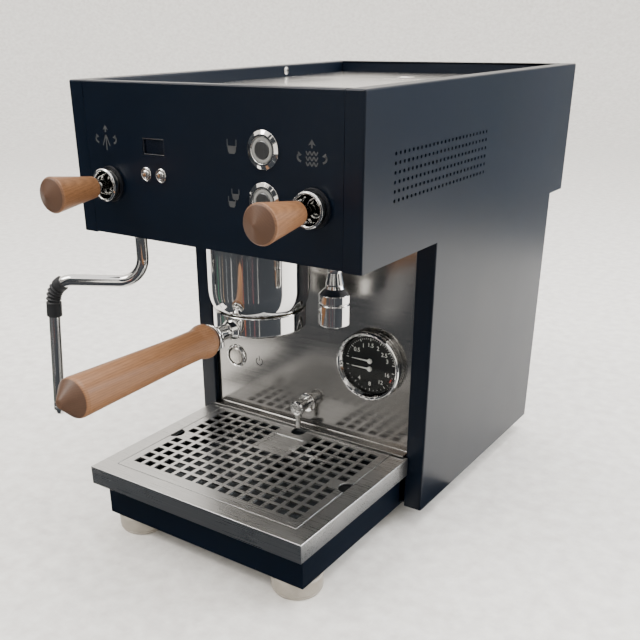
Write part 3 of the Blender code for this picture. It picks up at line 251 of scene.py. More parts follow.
PAINT = powder_coat("black_powder_coat", (0.0014, 0.0044, 0.0112), 0.30)
STEEL_X = brushed("steel_brushed_across", (0.66, 0.66, 0.655), 0.28, 0, 0.012)
PAN_STEEL = brushed("pan_steel", (0.09, 0.10, 0.11), 0.30, 0, 0.05)
STEEL_Y = brushed("steel_brushed_deep", (0.95, 0.92, 0.88), 0.17, 1, 0.012)
SPLASH = brushed("splash_steel", (0.44, 0.43, 0.415), 0.15, 0, 0.025)
BUTTON_STEEL = brushed("button_steel", (0.19, 0.195, 0.20), 0.34, 2, 0.12)
SILVER = brushed("button_silver", (0.66, 0.63, 0.59), 0.26, 2)
CHROME = polished("chrome", (0.80, 0.795, 0.78))
RUBBER = moulded("black_rubber", (0.012, 0.013, 0.016), 0.52)
COLLAR = moulded("collar_black", (0.004, 0.005, 0.008), 0.34, Specular_IOR_Level=0.3)
PLASTIC = moulded("black_plastic", (0.016, 0.017, 0.019), 0.45)
FOOT = moulded("foot_grey", (0.36, 0.33, 0.285), 0.40, 1800, 0.08)
LIGHT_RING = moulded("light_ring", (0.20, 0.205, 0.20), 0.35, 3000, 0.05)
PRINT = moulded("grey_print", (0.046, 0.049, 0.052), 0.5, 4000, 0.05)
DARK_PRINT = moulded("dark_print", (0.03, 0.03, 0.032), 0.4, 4000, 0.05)
DIAL_PRINT = moulded("dial_print", (0.78, 0.77, 0.73), 0.5, 4000, 0.05)
DIAL_RED = moulded("dial_red", (0.55, 0.045, 0.03), 0.5, 4000, 0.05)
DIAL = moulded("dial_black", (0.0045, 0.005, 0.006), 0.45, 3500, 0.08)
GLOSS_BLACK = moulded("display_glass", (0.003, 0.0045, 0.009), 0.09, 300, 0.01, Coat_Weight=0.6)
NEEDLE = moulded("needle_white", (0.80, 0.79, 0.76), 0.32, 3000, 0.04)
BRASS = brushed("brass", (0.62, 0.45, 0.18), 0.28, 0)
BOILER = brushed("boiler_steel", (0.46, 0.45, 0.43), 0.33, 2)
TANK = moulded("tank_plastic", (0.50, 0.55, 0.57), 0.20, 1500, 0.04, Transmission_Weight=0.35)


def clear_glass(name):
    """Thin cover glass: clear, with a reflection that grows towards grazing angles."""
    made = finish(name, (1, 1, 1), 0.02)
    tree = made.node_tree
    glossy = node(made, "BsdfAnisotropic", Color=(1, 1, 1, 1))
    smears = spread(made, noise(made, places(made), 120, 4, 0.6), 0.015, 0.06)
    tree.links.new(smears, glossy.inputs["Roughness"])
    clear = node(made, "BsdfTransparent", Color=(0.96, 0.97, 0.97, 1))
    fresnel = node(made, "Fresnel", IOR=1.22)
    mix = node(made, "MixShader", _0=fresnel.outputs[0], _1=clear.outputs[0], _2=glossy.outputs[0])
    tree.links.new(mix.outputs[0], tree.nodes["Material Output"].inputs["Surface"])
    tree.nodes.remove(shader_of(made))
    return made


GLASS = clear_glass("clear_glass")


# ---- mesh helpers ----
TURNS = {"Z": Matrix.Identity(4), "Y": Matrix.Rotation(math.radians(-90), 4, "X"),
    "X": Matrix.Rotation(math.radians(90), 4, "Y")}


def to_mesh(shape):
    mesh = bpy.data.meshes.new("shape")
    shape.to_mesh(mesh)
    shape.free()
    return mesh


def baked(mesh, *modifiers):
    """The mesh with modifiers, given as (kind, settings), applied."""
    holder = bpy.data.objects.new("holder", mesh)
    link(holder)
    for kind, settings in modifiers:
        modifier = holder.modifiers.new(kind, kind)
        for key, value in settings.items():
            setattr(modifier, key, value)
    bpy.context.view_layer.update()
    evaluated = holder.evaluated_get(bpy.context.evaluated_depsgraph_get())
    result = bpy.data.meshes.new_from_object(evaluated)
    bpy.data.objects.remove(holder)
    return result


def block(low, high):
    size = [high[i] - low[i] for i in range(3)]
    centre = Vector([(high[i] + low[i]) / 2 for i in range(3)])
    shape = bmesh.new()
    bmesh.ops.create_cube(shape, size=1, matrix=Matrix.Translation(centre) @ Matrix.Diagonal((*size, 1)))
    return to_mesh(shape)


def joined(*meshes):
    shape = bmesh.new()
    for mesh in meshes:
        shape.from_mesh(mesh)
    return to_mesh(shape)


def combined(mesh, operation, *others):
    """Boolean of a mesh with other meshes that don't touch each other."""
    tool = bpy.data.objects.new("tool", joined(*others))
    link(tool)
    result = baked(mesh, ("BOOLEAN", {"operation": operation, "object": tool, "solver": "EXACT"}))
    bpy.data.objects.remove(tool)
    return result


def cut(mesh, *others):
    return combined(mesh, "DIFFERENCE", *others)


def union(mesh, *others):
    for other in others:
        mesh = combined(mesh, "UNION", other)
    return mesh


def bevelled(mesh, width, segments=3, angle=40):
    return baked(mesh, ("BEVEL", {"width": width, "segments": segments, "limit_method": "ANGLE",
        "angle_limit": math.radians(angle)}))


def rounded(points, radius, steps=5, closed=False):
    """A flat polyline with its corners turned into arcs."""
    corners = [Vector(p) for p in points]
    count = len(corners)
    result = []
    for index, corner in enumerate(corners):
        if not closed and index in (0, count - 1):
            result.append(corner)
            continue
        before = corners[index - 1] - corner
        after = corners[(index + 1) % count] - corner
        turn = before.angle(after)
        if turn > math.radians(172):
            result.append(corner)
            continue
        reach = min(radius / math.tan(turn / 2), 0.45 * before.length, 0.45 * after.length)
        bend = reach * math.tan(turn / 2)
        centre = corner + (before.normalized() + after.normalized()).normalized() * (bend
            / math.sin(turn / 2))
        start = corner + before.normalized() * reach - centre
        end = corner + after.normalized() * reach - centre
        sweep = start.angle(end)
        for step in range(steps + 1):
            part = step / steps
            result.append(centre + (start * math.sin((1 - part) * sweep) + end * math.sin(part * sweep))
                / math.sin(sweep))
    return result


def lathe(profile, centre=(0, 0, 0), axis="Z", fillet=0.0004, sides=72, closed=False, steps=4):
    """A profile of (radius, height) turned about an axis, with its corners rounded.

    The profile runs round the solid; a closed one is a ring's cross-section.
    """
    points = rounded(profile, fillet, steps, closed) if fillet else [Vector(p) for p in profile]
    shape = bmesh.new()
    corners = [shape.verts.new((point.x, 0, point.y)) for point in points]
    pairs = list(zip(corners, corners[1:])) + ([(corners[-1], corners[0])] if closed else [])
    edges = [shape.edges.new(pair) for pair in pairs]
    bmesh.ops.spin(shape, geom=corners + edges, axis=(0, 0, 1), cent=(0, 0, 0), angle=2 * math.pi,
        steps=sides, use_merge=True)
    bmesh.ops.remove_doubles(shape, verts=shape.verts, dist=1e-6)
    bmesh.ops.recalc_face_normals(shape, faces=shape.faces)
    bmesh.ops.transform(shape, matrix=Matrix.Translation(Vector(centre)) @ TURNS[axis], verts=shape.verts)
    return to_mesh(shape)


def rod(radius, length, centre, axis="Z", sides=48):
    """A plain cutter or core: a cylinder from centre along +axis."""
    return lathe([(0, length), (radius, length), (radius, 0), (0, 0)], centre, axis, 0, sides)


def sheet_metal(quads, thickness, bend, holes=(), edge=0.0003, segments=4):
    """A folded sheet: flat stretches seen from outside, bent smoothly, thickened inward, then cut."""
    shape = bmesh.new()
    for quad in quads:
        shape.faces.new([shape.verts.new(corner) for corner in quad])
    bmesh.ops.remove_doubles(shape, verts=shape.verts, dist=1e-6)
    mesh = baked(to_mesh(shape), ("BEVEL", {"width": bend, "segments": segments, "limit_method": "ANGLE",
        "angle_limit": math.radians(30)}), ("SOLIDIFY", {"thickness": thickness, "offset": -1.0,
        "use_even_offset": True}))
    if holes:
        mesh = cut(mesh, *holes)
    return bevelled(mesh, edge, 2, 50)


def swept(points, radii, sides=40):
    """A round tube along points, with a radius at each and capped ends."""
    shape = bmesh.new()
    rings = []
    side = None
    for index, point in enumerate(points):
        ahead = points[min(index + 1, len(points) - 1)] - points[max(index - 1, 0)]
        ahead.normalize()
        if side is None:
            side = ahead.orthogonal().normalized()
        side = (side - ahead * side.dot(ahead)).normalized()
        other = ahead.cross(side)
        ring = []
        for step in range(sides):
            angle = 2 * math.pi * step / sides
            offset = side * math.cos(angle) + other * math.sin(angle)
            ring.append(shape.verts.new(point + offset * radii[index]))
        rings.append(ring)
    for first, second in zip(rings, rings[1:]):
        for step in range(sides):
            after = (step + 1) % sides
            shape.faces.new((first[step], first[after], second[after], second[step]))
    shape.faces.new(reversed(rings[0]))
    shape.faces.new(rings[-1])
    bmesh.ops.recalc_face_normals(shape, faces=shape.faces)
    return to_mesh(shape)


SHARP_ANGLE = 38


def piece(name, mesh, material, body="root"):
    """Adds a mesh made in the machine's coordinates as a piece that rides on a body.

    It stands for the CAD node of the same name, if there is one.
    """
    mesh.transform(Matrix.Translation(ORIGIN))
    mesh.materials.clear()
    mesh.materials.append(material)
    mesh.shade_smooth()
    mesh.set_sharp_from_angle(angle=math.radians(SHARP_ANGLE))
    new = bpy.data.objects.new(f"{name}_visual", mesh)
    link(new)
    new.modifiers.new("normals", "WEIGHTED_NORMAL").keep_sharp = True
    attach(new, body)
    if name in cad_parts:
        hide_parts(name)


# ---- main positions, from the frame ----
HEAD_LOW, HEAD_HIGH = span("upper_right_cover")
SEAM_X = HEAD_LOW.x
HALF = HEAD_HIGH.x
DEPTH = HEAD_HIGH.y
HEAD_BOTTOM = HEAD_LOW.z
TOP = HEAD_HIGH.z
DECK = span("cup_tray")[1].z
PANEL_LOW, PANEL_HIGH = span("front_panel")
BODY_LOW, BODY_HIGH = span("lower_right_cover")
SPLASH_LOW, SPLASH_HIGH = span("splash_panel")
SHEET = 0.0018
POST_INNER = BODY_LOW.x - 0.0018
SPLASH_SHEET = 0.0012
SPLASH_Y = SPLASH_HIGH.y - SPLASH_SHEET
VALVES = {"steam": middle("steam_knob"), "water": middle("water_knob")}
CUP_BUTTONS = {"one_cup": middle("one_cup_button"), "two_cup": middle("two_cup_button")}
POWER = middle("power_button")
GAUGE = middle("gauge_case")
DISPLAY_LOW, DISPLAY_HIGH = span("display_window")
MENU = {"left": middle("menu_button_left"), "right": middle("menu_button_right")}
GROUP = middle("group_cover")


def through_y(radius, at, y, length=0.012, sides=64):
    """A cutter through a panel whose face is at y."""
    return rod(radius, length, (at.x, y - length / 2, at.z), "Y", sides)


def sided(side, quad):
    """A quad laid out for the right side, mirrored to the left one with its facing kept."""
    moved = [(side * x, y, z) for x, y, z in quad]
    return moved if side > 0 else moved[::-1]


# ---- casing ----
VENT_ROWS = 6
VENT_COLUMNS = 25
VENT_Y = (0.040, 0.182)
VENT_Z = (0.2925, 0.3225)
VENT_RADIUS = 0.00135


def vent_holes(side):
    holes = []
    for row in range(VENT_ROWS):
        for column in range(VENT_COLUMNS):
            y = VENT_Y[0] + (VENT_Y[1] - VENT_Y[0]) * column / (VENT_COLUMNS - 1)
            z = VENT_Z[0] + (VENT_Z[1] - VENT_Z[0]) * row / (VENT_ROWS - 1)
            start = HALF - 0.006 if side > 0 else -HALF - 0.006
            holes.append(rod(VENT_RADIUS, 0.012, (start, y, z), "X", 14))
    return holes


def head_side_cover(name, side):
    gallery = DECK - 0.002
    quads = [
        [(SEAM_X, 0, HEAD_BOTTOM), (HALF, 0, HEAD_BOTTOM), (HALF, 0, TOP), (SEAM_X, 0, TOP)],
        [(HALF, 0, HEAD_BOTTOM), (HALF, DEPTH, HEAD_BOTTOM), (HALF, DEPTH, TOP), (HALF, 0, TOP)],
        [(SEAM_X, 0, TOP), (HALF, 0, TOP), (HALF, DEPTH, TOP), (SEAM_X, DEPTH, TOP)],
        [(SEAM_X, 0, TOP), (SEAM_X, DEPTH, TOP), (SEAM_X, DEPTH, gallery), (SEAM_X, 0, gallery)],
    ]
    mesh = sheet_metal([sided(side, quad) for quad in quads], SHEET, 0.0014, (), 0.0008)
    mesh = bevelled(cut(mesh, *vent_holes(side)), 0.0003, 1, 50)
    piece(name, mesh, PAINT)


def front_panel():
    half = PANEL_HIGH.x
    back = PANEL_HIGH.y
    low = PANEL_LOW.z
    gallery = DECK - 0.002
    quads = [
        [(-half, 0, low), (half, 0, low), (half, 0, TOP), (-half, 0, TOP)],
        [(-half, 0, TOP), (half, 0, TOP), (half, back, TOP), (-half, back, TOP)],
        [(-half, back, TOP), (half, back, TOP), (half, back, gallery), (-half, back, gallery)],
    ]
    holes = [through_y(0.0099, at, 0) for at in VALVES.values()]
    holes += [through_y(0.0094, at, 0) for at in CUP_BUTTONS.values()]
    holes += [through_y(0.0047, at, 0) for at in MENU.values()]
    holes.append(block((DISPLAY_LOW.x, -0.006, DISPLAY_LOW.z), (DISPLAY_HIGH.x, 0.006, DISPLAY_HIGH.z)))
    piece("front_panel", sheet_metal(quads, SHEET, 0.0014, holes, 0.0005), PAINT)


def head_rear_cover():
    low, high = span("upper_rear_cover")
    half = SEAM_X - 0.0003
    back = high.y - 0.0002
    skin = block((low.x, back - SHEET, low.z), (high.x, back, DECK - 0.0025))
    step = block((-half, back - SHEET, low.z + 0.002), (half, back, high.z))
    rim = block((-half, low.y, high.z - SHEET), (half, back, high.z))
    gallery = block((-half, low.y, DECK - 0.002), (half, low.y + SHEET, high.z))
    mesh = bevelled(union(skin, step, rim, gallery), 0.0007, 3)
    piece("upper_rear_cover", mesh, PAINT)


def body_side_cover(name, side):
    inner, outer = POST_INNER, BODY_HIGH.x
    front, back = BODY_LOW.y, BODY_HIGH.y
    low, high = BODY_LOW.z, BODY_HIGH.z
    fold = SPLASH_Y - 0.0003
    quads = [
        [(inner, fold, low), (inner, front, low), (inner, front, high), (inner, fold, high)],
        [(inner, front, low), (outer, front, low), (outer, front, high), (inner, front, high)],
        [(outer, front, low), (outer, back, low), (outer, back, high), (outer, front, high)],
    ]
    mesh = sheet_metal([sided(side, quad) for quad in quads], SHEET, 0.0014, (), 0.00025)
    piece(name, mesh, PAINT)


SLOT_PITCH = 0.022
SLOT_START = 0.150
SLOT_RISE = 0.028
SLOT_HALF = 0.0016
SLOT_LENGTH = 0.020


def rear_slots(y):
    """Rows of ventilation slots in the lower rear cover."""
    slots = []
    for column in range(-4, 5):
        for row in range(3):
            x = column * SLOT_PITCH
            z = SLOT_START + row * SLOT_RISE
            slots.append(block((x - SLOT_HALF, y - 0.006, z), (x + SLOT_HALF, y + 0.006, z + SLOT_LENGTH)))
    return slots


def body_rear_cover():
    low, high = span("lower_rear_cover")
    inlet_low, inlet_high = span("power_inlet")
    flange = 0.008
    hole = block((inlet_low.x + flange - 0.0003, low.y - 0.01, inlet_low.z + 0.0017),
        (inlet_high.x - flange + 0.0003, high.y + 0.01, inlet_high.z - 0.0017))
    mesh = cut(block(low, high), hole, *rear_slots(high.y))
    piece("lower_rear_cover", bevelled(mesh, 0.0003, 2), PAINT)


def splash_panel():
    half = SPLASH_HIGH.x
    lip_half = POST_INNER - 0.0008
    low = SPLASH_LOW.z + SPLASH_SHEET
    top = SPLASH_HIGH.z
    y = SPLASH_Y
    front = SPLASH_LOW.y
    quads = [
        [(-lip_half, y, low), (lip_half, y, low), (lip_half, y, top), (-lip_half, y, top)],
        [(-lip_half, front, low), (lip_half, front, low), (lip_half, y, low), (-lip_half, y, low)],
        [(-half, y, low), (-lip_half, y, low), (-lip_half, y, top), (-half, y, top)],
        [(lip_half, y, low), (half, y, low), (half, y, top), (lip_half, y, top)],
    ]
    spout = middle("drain_spout")
    spout.z = span("drain_spout")[1].z - 0.00775
    holes = [through_y(0.0268, GAUGE, y), through_y(0.0094, POWER, y), through_y(0.0072, spout, y)]
    piece("splash_panel", sheet_metal(quads, SPLASH_SHEET, 0.0010, holes, 0.0003), SPLASH)


def top_plates():
    for name, body in (("cup_tray", "root"), ("tank_lid", "tank_lid")):
        low, high = span(name)
        mesh = block(low, high)
        if name == "tank_lid":
            dish = lathe([(0, 0.030), (0.011, 0.030), (0.0085, 0), (0, 0)],
                (0, low.y + 0.030, high.z - 0.0006), "Z", 0.0012)
            mesh = cut(mesh, dish)
        piece(name, bevelled(mesh, 0.0004, 3), STEEL_Y, body)


def screw(name, at, axis, radius=0.0032):
    """A domed socket screw whose head faces along the axis' negative side, or +X where axis is -X."""
    dome = lathe([(0, 0.0001), (radius, 0.0001), (radius, -0.0007), (0.62 * radius, -0.0018), (0, -0.0019)],
        (0, 0, 0), "Z", 0.0004, 40)
    socket = rod(0.5 * radius, 0.003, (0, 0, -0.0035), "Z", 6)
    mesh = cut(dome, socket)
    turns = {"Y": TURNS["Y"], "-Y": Matrix.Rotation(math.radians(90), 4, "X"), "X": TURNS["X"],
        "-X": Matrix.Rotation(math.radians(-90), 4, "Y")}
    mesh.transform(Matrix.Translation(Vector(at)) @ turns[axis])
    piece(name, mesh, CHROME)


REAR_SCREW_X = 0.105
REAR_SCREWS = {"low": 0.030, "mid": 0.130, "high": 0.238, "head": 0.300}
RIM_SCREW = 0.0036


def casing_screws():
    """Screws at the rim's inner walls and on the rear covers."""
    seam_y = span("tank_lid")[0].y
    rim_z = DECK + 0.005
    screw("rim_screw_left", (-SEAM_X, seam_y, rim_z), "-X", RIM_SCREW)
    screw("rim_screw_right", (SEAM_X, seam_y, rim_z), "X", RIM_SCREW)
    rear_y = span("lower_rear_cover")[1].y
    for side, x in (("left", -REAR_SCREW_X), ("right", REAR_SCREW_X)):
        for place, z in REAR_SCREWS.items():
            y = DEPTH - 0.0002 if place == "head" else rear_y
            screw(f"rear_screw_{side}_{place}", (x, y, z), "-Y")


# ---- base, feet and drip tray ----
BASE_BOX_HALF = 0.1009
BASE_BOX_BACK = 0.119
BASE_FLOOR_FRONT = 0.126
BASE_SHEET = 0.002


def base_frame():
    low, high = span("base_frame")
    half = BASE_BOX_HALF
    wall = BASE_SHEET
    front = block((-half, low.y, low.z), (half, BASE_BOX_BACK, high.z))
    hollow = block((-half + wall, low.y + wall, -0.01), (half - wall, BASE_BOX_BACK - wall, high.z - wall))
    front = cut(front, hollow)
    tongue = block((-half, BASE_BOX_BACK - wall, low.z), (half, BASE_FLOOR_FRONT + wall, low.z + wall))
    floor = block((low.x, BASE_FLOOR_FRONT, low.z), (high.x, high.y, low.z + wall))
    mesh = bevelled(union(front, tongue, floor), 0.0008, 3)
    piece("base_frame", mesh, PAINT)
    foot_x = middle("foot_front_right").x
    pads = [block((x - 0.010, low.y + 0.0025, low.z + 0.0001), (x + 0.010, low.y + 0.038, low.z + 0.002))
        for x in (-foot_x, foot_x)]
    piece("foot_pads", bevelled(joined(*pads), 0.0003, 2), PAINT)


def feet():
    for name in ("foot_front_left", "foot_front_right", "foot_rear_left", "foot_rear_right"):
        low, high = span(name)
        at = (low + high) / 2
        radius = (high.x - low.x) / 2
        top = high.z
        profile = [(0, top), (radius - 0.0012, top), (radius, top - 0.0012), (radius, 0.0042),
            (radius - 0.0008, 0.0036), (radius - 0.0008, 0.0030), (radius - 0.0002, 0.0026),
            (radius - 0.0016, 0.0), (0, 0)]
        piece(name, lathe(profile, (at.x, at.y, 0), "Z", 0.0006, 96), FOOT)


GRID_HOLE = 0.0080
GRID_PITCH = 0.0115
GRID_FIRST_ROW = 0.015
GRID_MARGIN = 0.0073
GRID_SHEET = 0.0015


def tray_surround():
    low, high = span("drip_surround")
    grid_low, grid_high = span("drip_grid")
    wall = 0.0012
    mesh = block(low, high)
    hollow = block((low.x + wall, low.y + wall, low.z - 0.01), (high.x - wall, high.y - wall, high.z - wall))
    opening = block((grid_low.x - 0.0004, grid_low.y - 0.0004, low.z),
        (grid_high.x + 0.0004, grid_high.y + 0.0004, high.z + 0.01))
    mesh = bevelled(cut(cut(mesh, hollow), opening), 0.00055, 3)
    piece("drip_surround", mesh, STEEL_X, "drip_tray")


def grid_layout():
    """Centres of the grid's square holes, as in the CAD part."""
    low, high = span("drip_grid")
    columns = 2 * int((high.x - GRID_MARGIN - 0.0035) / GRID_PITCH) + 1
    rows = int((high.y - low.y - GRID_FIRST_ROW - 0.007) / GRID_PITCH) + 1
    centre = columns // 2
    for row in range(rows):
        for column in range(columns):
            pad = abs(column - centre) <= 1 and row >= rows - 4
            notch = column in (0, columns - 1) and row == rows // 2
            if not pad and not notch:
                yield (column - centre) * GRID_PITCH, low.y + GRID_FIRST_ROW + row * GRID_PITCH


def grid():
    low, high = span("drip_grid")
    spout = span("drain_spout")
    spout_y = spout[0].y + 0.005
    half = GRID_HOLE / 2
    holes = [block((x - half, y - half, low.z - 0.003), (x + half, y + half, high.z + 0.003)) for x,
        y in grid_layout()]
    notch_y = low.y + GRID_FIRST_ROW + 5 * GRID_PITCH
    cutters = [rod(0.008, 0.006, (side * high.x, notch_y, low.z - 0.002), "Z", 48) for side in (-1, 1)]
    cutters.append(union(rod(0.0065, 0.006, (0, spout_y, low.z - 0.002), "Z", 48),
        block((-0.0065, spout_y, low.z - 0.002), (0.0065, high.y + 0.002, low.z + 0.004))))
    pad_low, pad_high = spout_y - 0.043, spout_y - 0.0135
    cutters.append(block((-0.0145, pad_low, high.z - 0.0004), (0.0145, pad_high, high.z + 0.002)))
    mesh = bevelled(cut(block(low, high), *cutters), 0.0006, 3)
    mesh = bevelled(cut(mesh, *holes), 0.0004, 2, 60)
    piece("drip_grid", mesh, STEEL_X, "drip_grid")


def drain_spout():
    low, high = span("drain_spout")
    radius = high.x - 0.0009
    z = high.z - high.x
    cap = lathe([(0, 0.0046), (radius - 0.0005, 0.0046), (radius, 0.0038), (radius, 0.0022),
        (0.86 * radius, 0.0006), (0.55 * radius, -0.0002), (0, -0.0004)], (0, low.y + 0.0005, z), "Y",
        0.0007)
    dents = []
    for index in range(4):
        angle = 2 * math.pi * (index + 0.5) / 4
        at = (0.62 * radius * math.cos(angle), low.y - 0.0016, z + 0.62 * radius * math.sin(angle))
        dents.append(rod(0.0019, 0.0024, at, "Y", 24))
    cap = bevelled(cut(cap, *dents), 0.0005, 3, 50)
    barrel = lathe([(0, 0.0205), (0.0052, 0.0205), (0.0052, 0.0135), (0.82 * radius, 0.0130),
        (0.82 * radius, 0.0044), (0, 0.0044)], (0, low.y, z), "Y", 0.0005)
    tube_y = low.y + 0.005
    tube = lathe([(0, z - 0.002), (0.0023, z - 0.002), (0.0023, low.z), (0.0017, low.z),
        (0.0017, low.z + 0.008), (0, low.z + 0.008)], (0, tube_y, 0), "Z", 0.0003, 48)
    collar = lathe([(0.0034, z - 0.004), (0.0034, z - 0.0088), (0.0022, z - 0.0092), (0.0022, z - 0.004)],
        (0, tube_y, 0), "Z", 0.0005, 48, True)
    flange = lathe([(0.0050, 0.0002), (0.0088, 0.0002), (0.0088, -0.0010), (0.0050, -0.0016)],
        (0, SPLASH_Y - 0.0004, z), "Y", 0.0004, 72, True)
    piece("drain_spout", joined(cap, barrel, tube, collar, flange), CHROME)


# ---- brew group and portafilter ----
BELL_CURVE = 0.0170
BELL_TUCK = 0.0058


def bell_radius(z):
    """Outer radius of the group's bell, which curves in towards its open end."""
    low, high = span("group_cover")
    depth = max(0.0, 1 - (z - low.z) / BELL_CURVE)
    return high.x - BELL_TUCK * (1 - math.sqrt(max(0.0, 1 - depth * depth)))


def group_cover():
    low, high = span("group_cover")
    wall = 0.0011
    heights = [high.z] + [low.z + BELL_CURVE * (1 - i / 14) for i in range(14)] + [low.z + 0.0001]
    outer = [(bell_radius(z), z) for z in heights]
    inner = [(bell_radius(z) - wall, z) for z in reversed(heights)]
    mesh = lathe([*outer, *inner], (0, GROUP.y, 0), "Z", 0.0003, 128, True, 2)
    piece("group_cover", mesh, CHROME)
    body_low, body_high = span("group_body")
    screen_radius = span("shower_screen")[1].x + 0.0004
    shaft = [(0, body_high.z), (body_high.x - 0.0008, body_high.z),
        (body_high.x - 0.0008, low.z + BELL_CURVE), (bell_radius(low.z + 0.012) - 0.0022, low.z + 0.0120),
        (0.0345, low.z + 0.0104), (0.0345, body_low.z + 0.0004), (0.0338, body_low.z + 0.0004),
        (0.0338, low.z + 0.0120), (screen_radius, low.z + 0.0125), (screen_radius, low.z + 0.016),
        (0, low.z + 0.016)]
    mesh = lathe(shaft, (0, GROUP.y, 0), "Z", 0.0004, 96)
    piece("group_body", mesh, BRASS)


def portafilter():
    low, high = span("portafilter_ring")
    radius = high.x
    shoulder = span("group_cover")[0].z - 0.0003
    bottom = low.z
    neck_radius = radius - 0.0050
    bore = radius - 0.0075
    ring = lathe([(neck_radius, high.z), (neck_radius, shoulder + 0.0002), (radius, shoulder),
        (radius, bottom + 0.0018), (radius - 0.0018, bottom), (bore + 0.0006, bottom),
        (bore, bottom + 0.0006), (bore, high.z)], (0, GROUP.y, 0), "Z", 0.0009, 128, True)
    lug_z = span("group_cover")[0].z + 0.0034
    lugs = [block((min(s * 0.030, s * 0.0335), GROUP.y - 0.005, lug_z),
        (max(s * 0.030, s * 0.0335), GROUP.y + 0.005, lug_z + 0.005)) for s in (-1, 1)]
    handle_low, handle_high = span("portafilter_handle")
    z = (handle_low.z + handle_high.z) / 2
    start = handle_high.y
    ring_front = GROUP.y - radius
    neck = lathe([(0, ring_front + 0.0045), (0.0085, ring_front + 0.0045), (0.0080, ring_front - 0.001),
        (0.0058, ring_front - 0.005), (0.0056, start + 0.0105), (0.0070, start + 0.0095),
        (0.0070, start + 0.0075), (0.0060, start + 0.0066), (0.0060, start + 0.0003),
        (0.0040, start + 0.0003), (0.0040, start - 0.020), (0, start - 0.020)], (0, 0, z), "Y", 0.0012, 64)
    nut = bevelled(lathe([(0, 0.0062), (0.0090, 0.0062), (0.0090, 0.0018), (0, 0.0018)], (0, start, z), "Y",
        0, 6), 0.0006, 3)
    ferrule = lathe([(0.0050, 0.0026), (0.0104, 0.0026), (0.0108, 0.0016), (0.0108, 0.0003),
        (0.0050, 0.0003)], (0, start, z), "Y", 0.0005, 64, True)
    stub = lathe([(0, 0.0), (0.0030, 0.0), (0.0030, -0.0078), (0.0022, -0.0088), (0, -0.0088)],
        (0, start + 0.0125, z - 0.002), "Z", 0.0006, 40)
    mesh = joined(union(ring, *lugs), neck, nut, ferrule, stub)
    piece("portafilter_ring", mesh, CHROME, "portafilter")


def handle():
    low, high = span("portafilter_handle")
    z = (low.z + high.z) / 2
    radius = (high.x - low.x) / 2
    start, length = high.y, high.y - low.y
    collar = 0.93 * radius
    waist = 0.80 * radius
    profile = [(0, 0), (0.0092, 0), (0.82 * collar, -0.0008), (collar, -0.0048), (collar, -0.0078),
        (waist, -0.0150), (waist, -0.0350), (0.95 * radius, 0.035 - length), (radius, 0.0145 - length),
        (0.97 * radius, 0.0120 - length), (0.20 * radius, 0.0006 - length), (0, -length)]
    mesh = lathe(profile, (0, start, z), "Y", 0.0030, 96, steps=6)
    piece("portafilter_handle", mesh, beech("beech_handle", ORIGIN + Vector((0.019, start, z - 0.027))),
        "portafilter")


# ---- lever valves ----
VALVE_OUT = 0.0034
KNOB_START = 0.0052


def lever_valve(prefix):
    at = VALVES[prefix]
    valve_low, valve_high = span(f"{prefix}_valve")
    face = valve_low.y - VALVE_OUT
    radius = (valve_high.x - valve_low.x) / 2
    ring = radius - 0.0010
    base = [(radius, -0.0003), (radius, -0.0020), (ring - 0.0012, -0.0024), (ring - 0.003, -0.0003)]
    piece(f"{prefix}_valve_base", lathe(base, (at.x, 0, at.z), "Y", 0.0005, 96, True), COLLAR)
    profile = [(0, 0.024), (0.0094, 0.024), (0.0094, -0.0005), (ring - 0.0016, -0.0024),
        (ring - 0.0016, face + 0.0030), (ring - 0.0004, face + 0.0026), (ring, face + 0.0020),
        (ring, face + 0.0009), (ring - 0.0009, face), (ring - 0.0017, face), (ring - 0.0022, face + 0.0010),
        (0.0091, -0.0030), (0.0086, -0.0012), (0.0086, 0.0140), (0, 0.0140)]
    piece(f"{prefix}_valve", lathe(profile, (at.x, 0, at.z), "Y", 0.0006, 96), CHROME)
    pivot_y = middle(f"{prefix}_pivot_ring").y
    dish = [(0.0064, 0.0022), (0.0079, 0.0022), (0.0083, 0.0), (0.0078, -0.0028), (0.0065, -0.0051),
        (0.0059, -0.0057), (0.0055, -0.0050), (0.0051, -0.0036), (0.0064, -0.0022)]
    piece(f"{prefix}_pivot_ring", lathe(dish, (at.x, pivot_y, at.z), "Y", 0.0003, 80, True), CHROME,
        f"{prefix}_pivot")
    knob_low, knob_high = span(f"{prefix}_knob")
    start = knob_high.y - KNOB_START
    out = start - pivot_y
    ball = [(0.0046 * math.sin(a), 0.0046 * math.cos(a)) for a in (math.radians(20 + 12 * i)
        for i in range(8))]
    stem = [(0, 0.0050), (0.0015, 0.0050), *ball, (0.0032, -0.0060), (0.0034, -0.0095), (0.0038, -0.0140),
        (0.0036, out + 0.0034), (0.0048, out + 0.0022), (0.0048, out + 0.0003), (0.0025, out + 0.0003),
        (0.0025, out - 0.012), (0, out - 0.012)]
    piece(f"{prefix}_lever", lathe(stem, (at.x, pivot_y, at.z), "Y", 0.0005, 56), CHROME, f"{prefix}_lever")
    large = 0.97 * (knob_high.x - knob_low.x) / 2
    small = 0.0078
    length = start - knob_low.y
    shape = [(0, 0), (small - 0.0014, 0), (small, -0.0012), (small + 0.0003, -0.0040),
        (large, 0.0066 - length), (large - 0.0012, 0.0050 - length), (0.10 * large, 0.0003 - length),
        (0, -length)]
    mesh = lathe(shape, (at.x, start, at.z), "Y", 0.0014, 96, steps=6)
    wood = beech(f"beech_{prefix}", ORIGIN + Vector((at.x - 0.016, start, at.z - 0.021)))
    piece(f"{prefix}_knob", mesh, wood, f"{prefix}_lever")


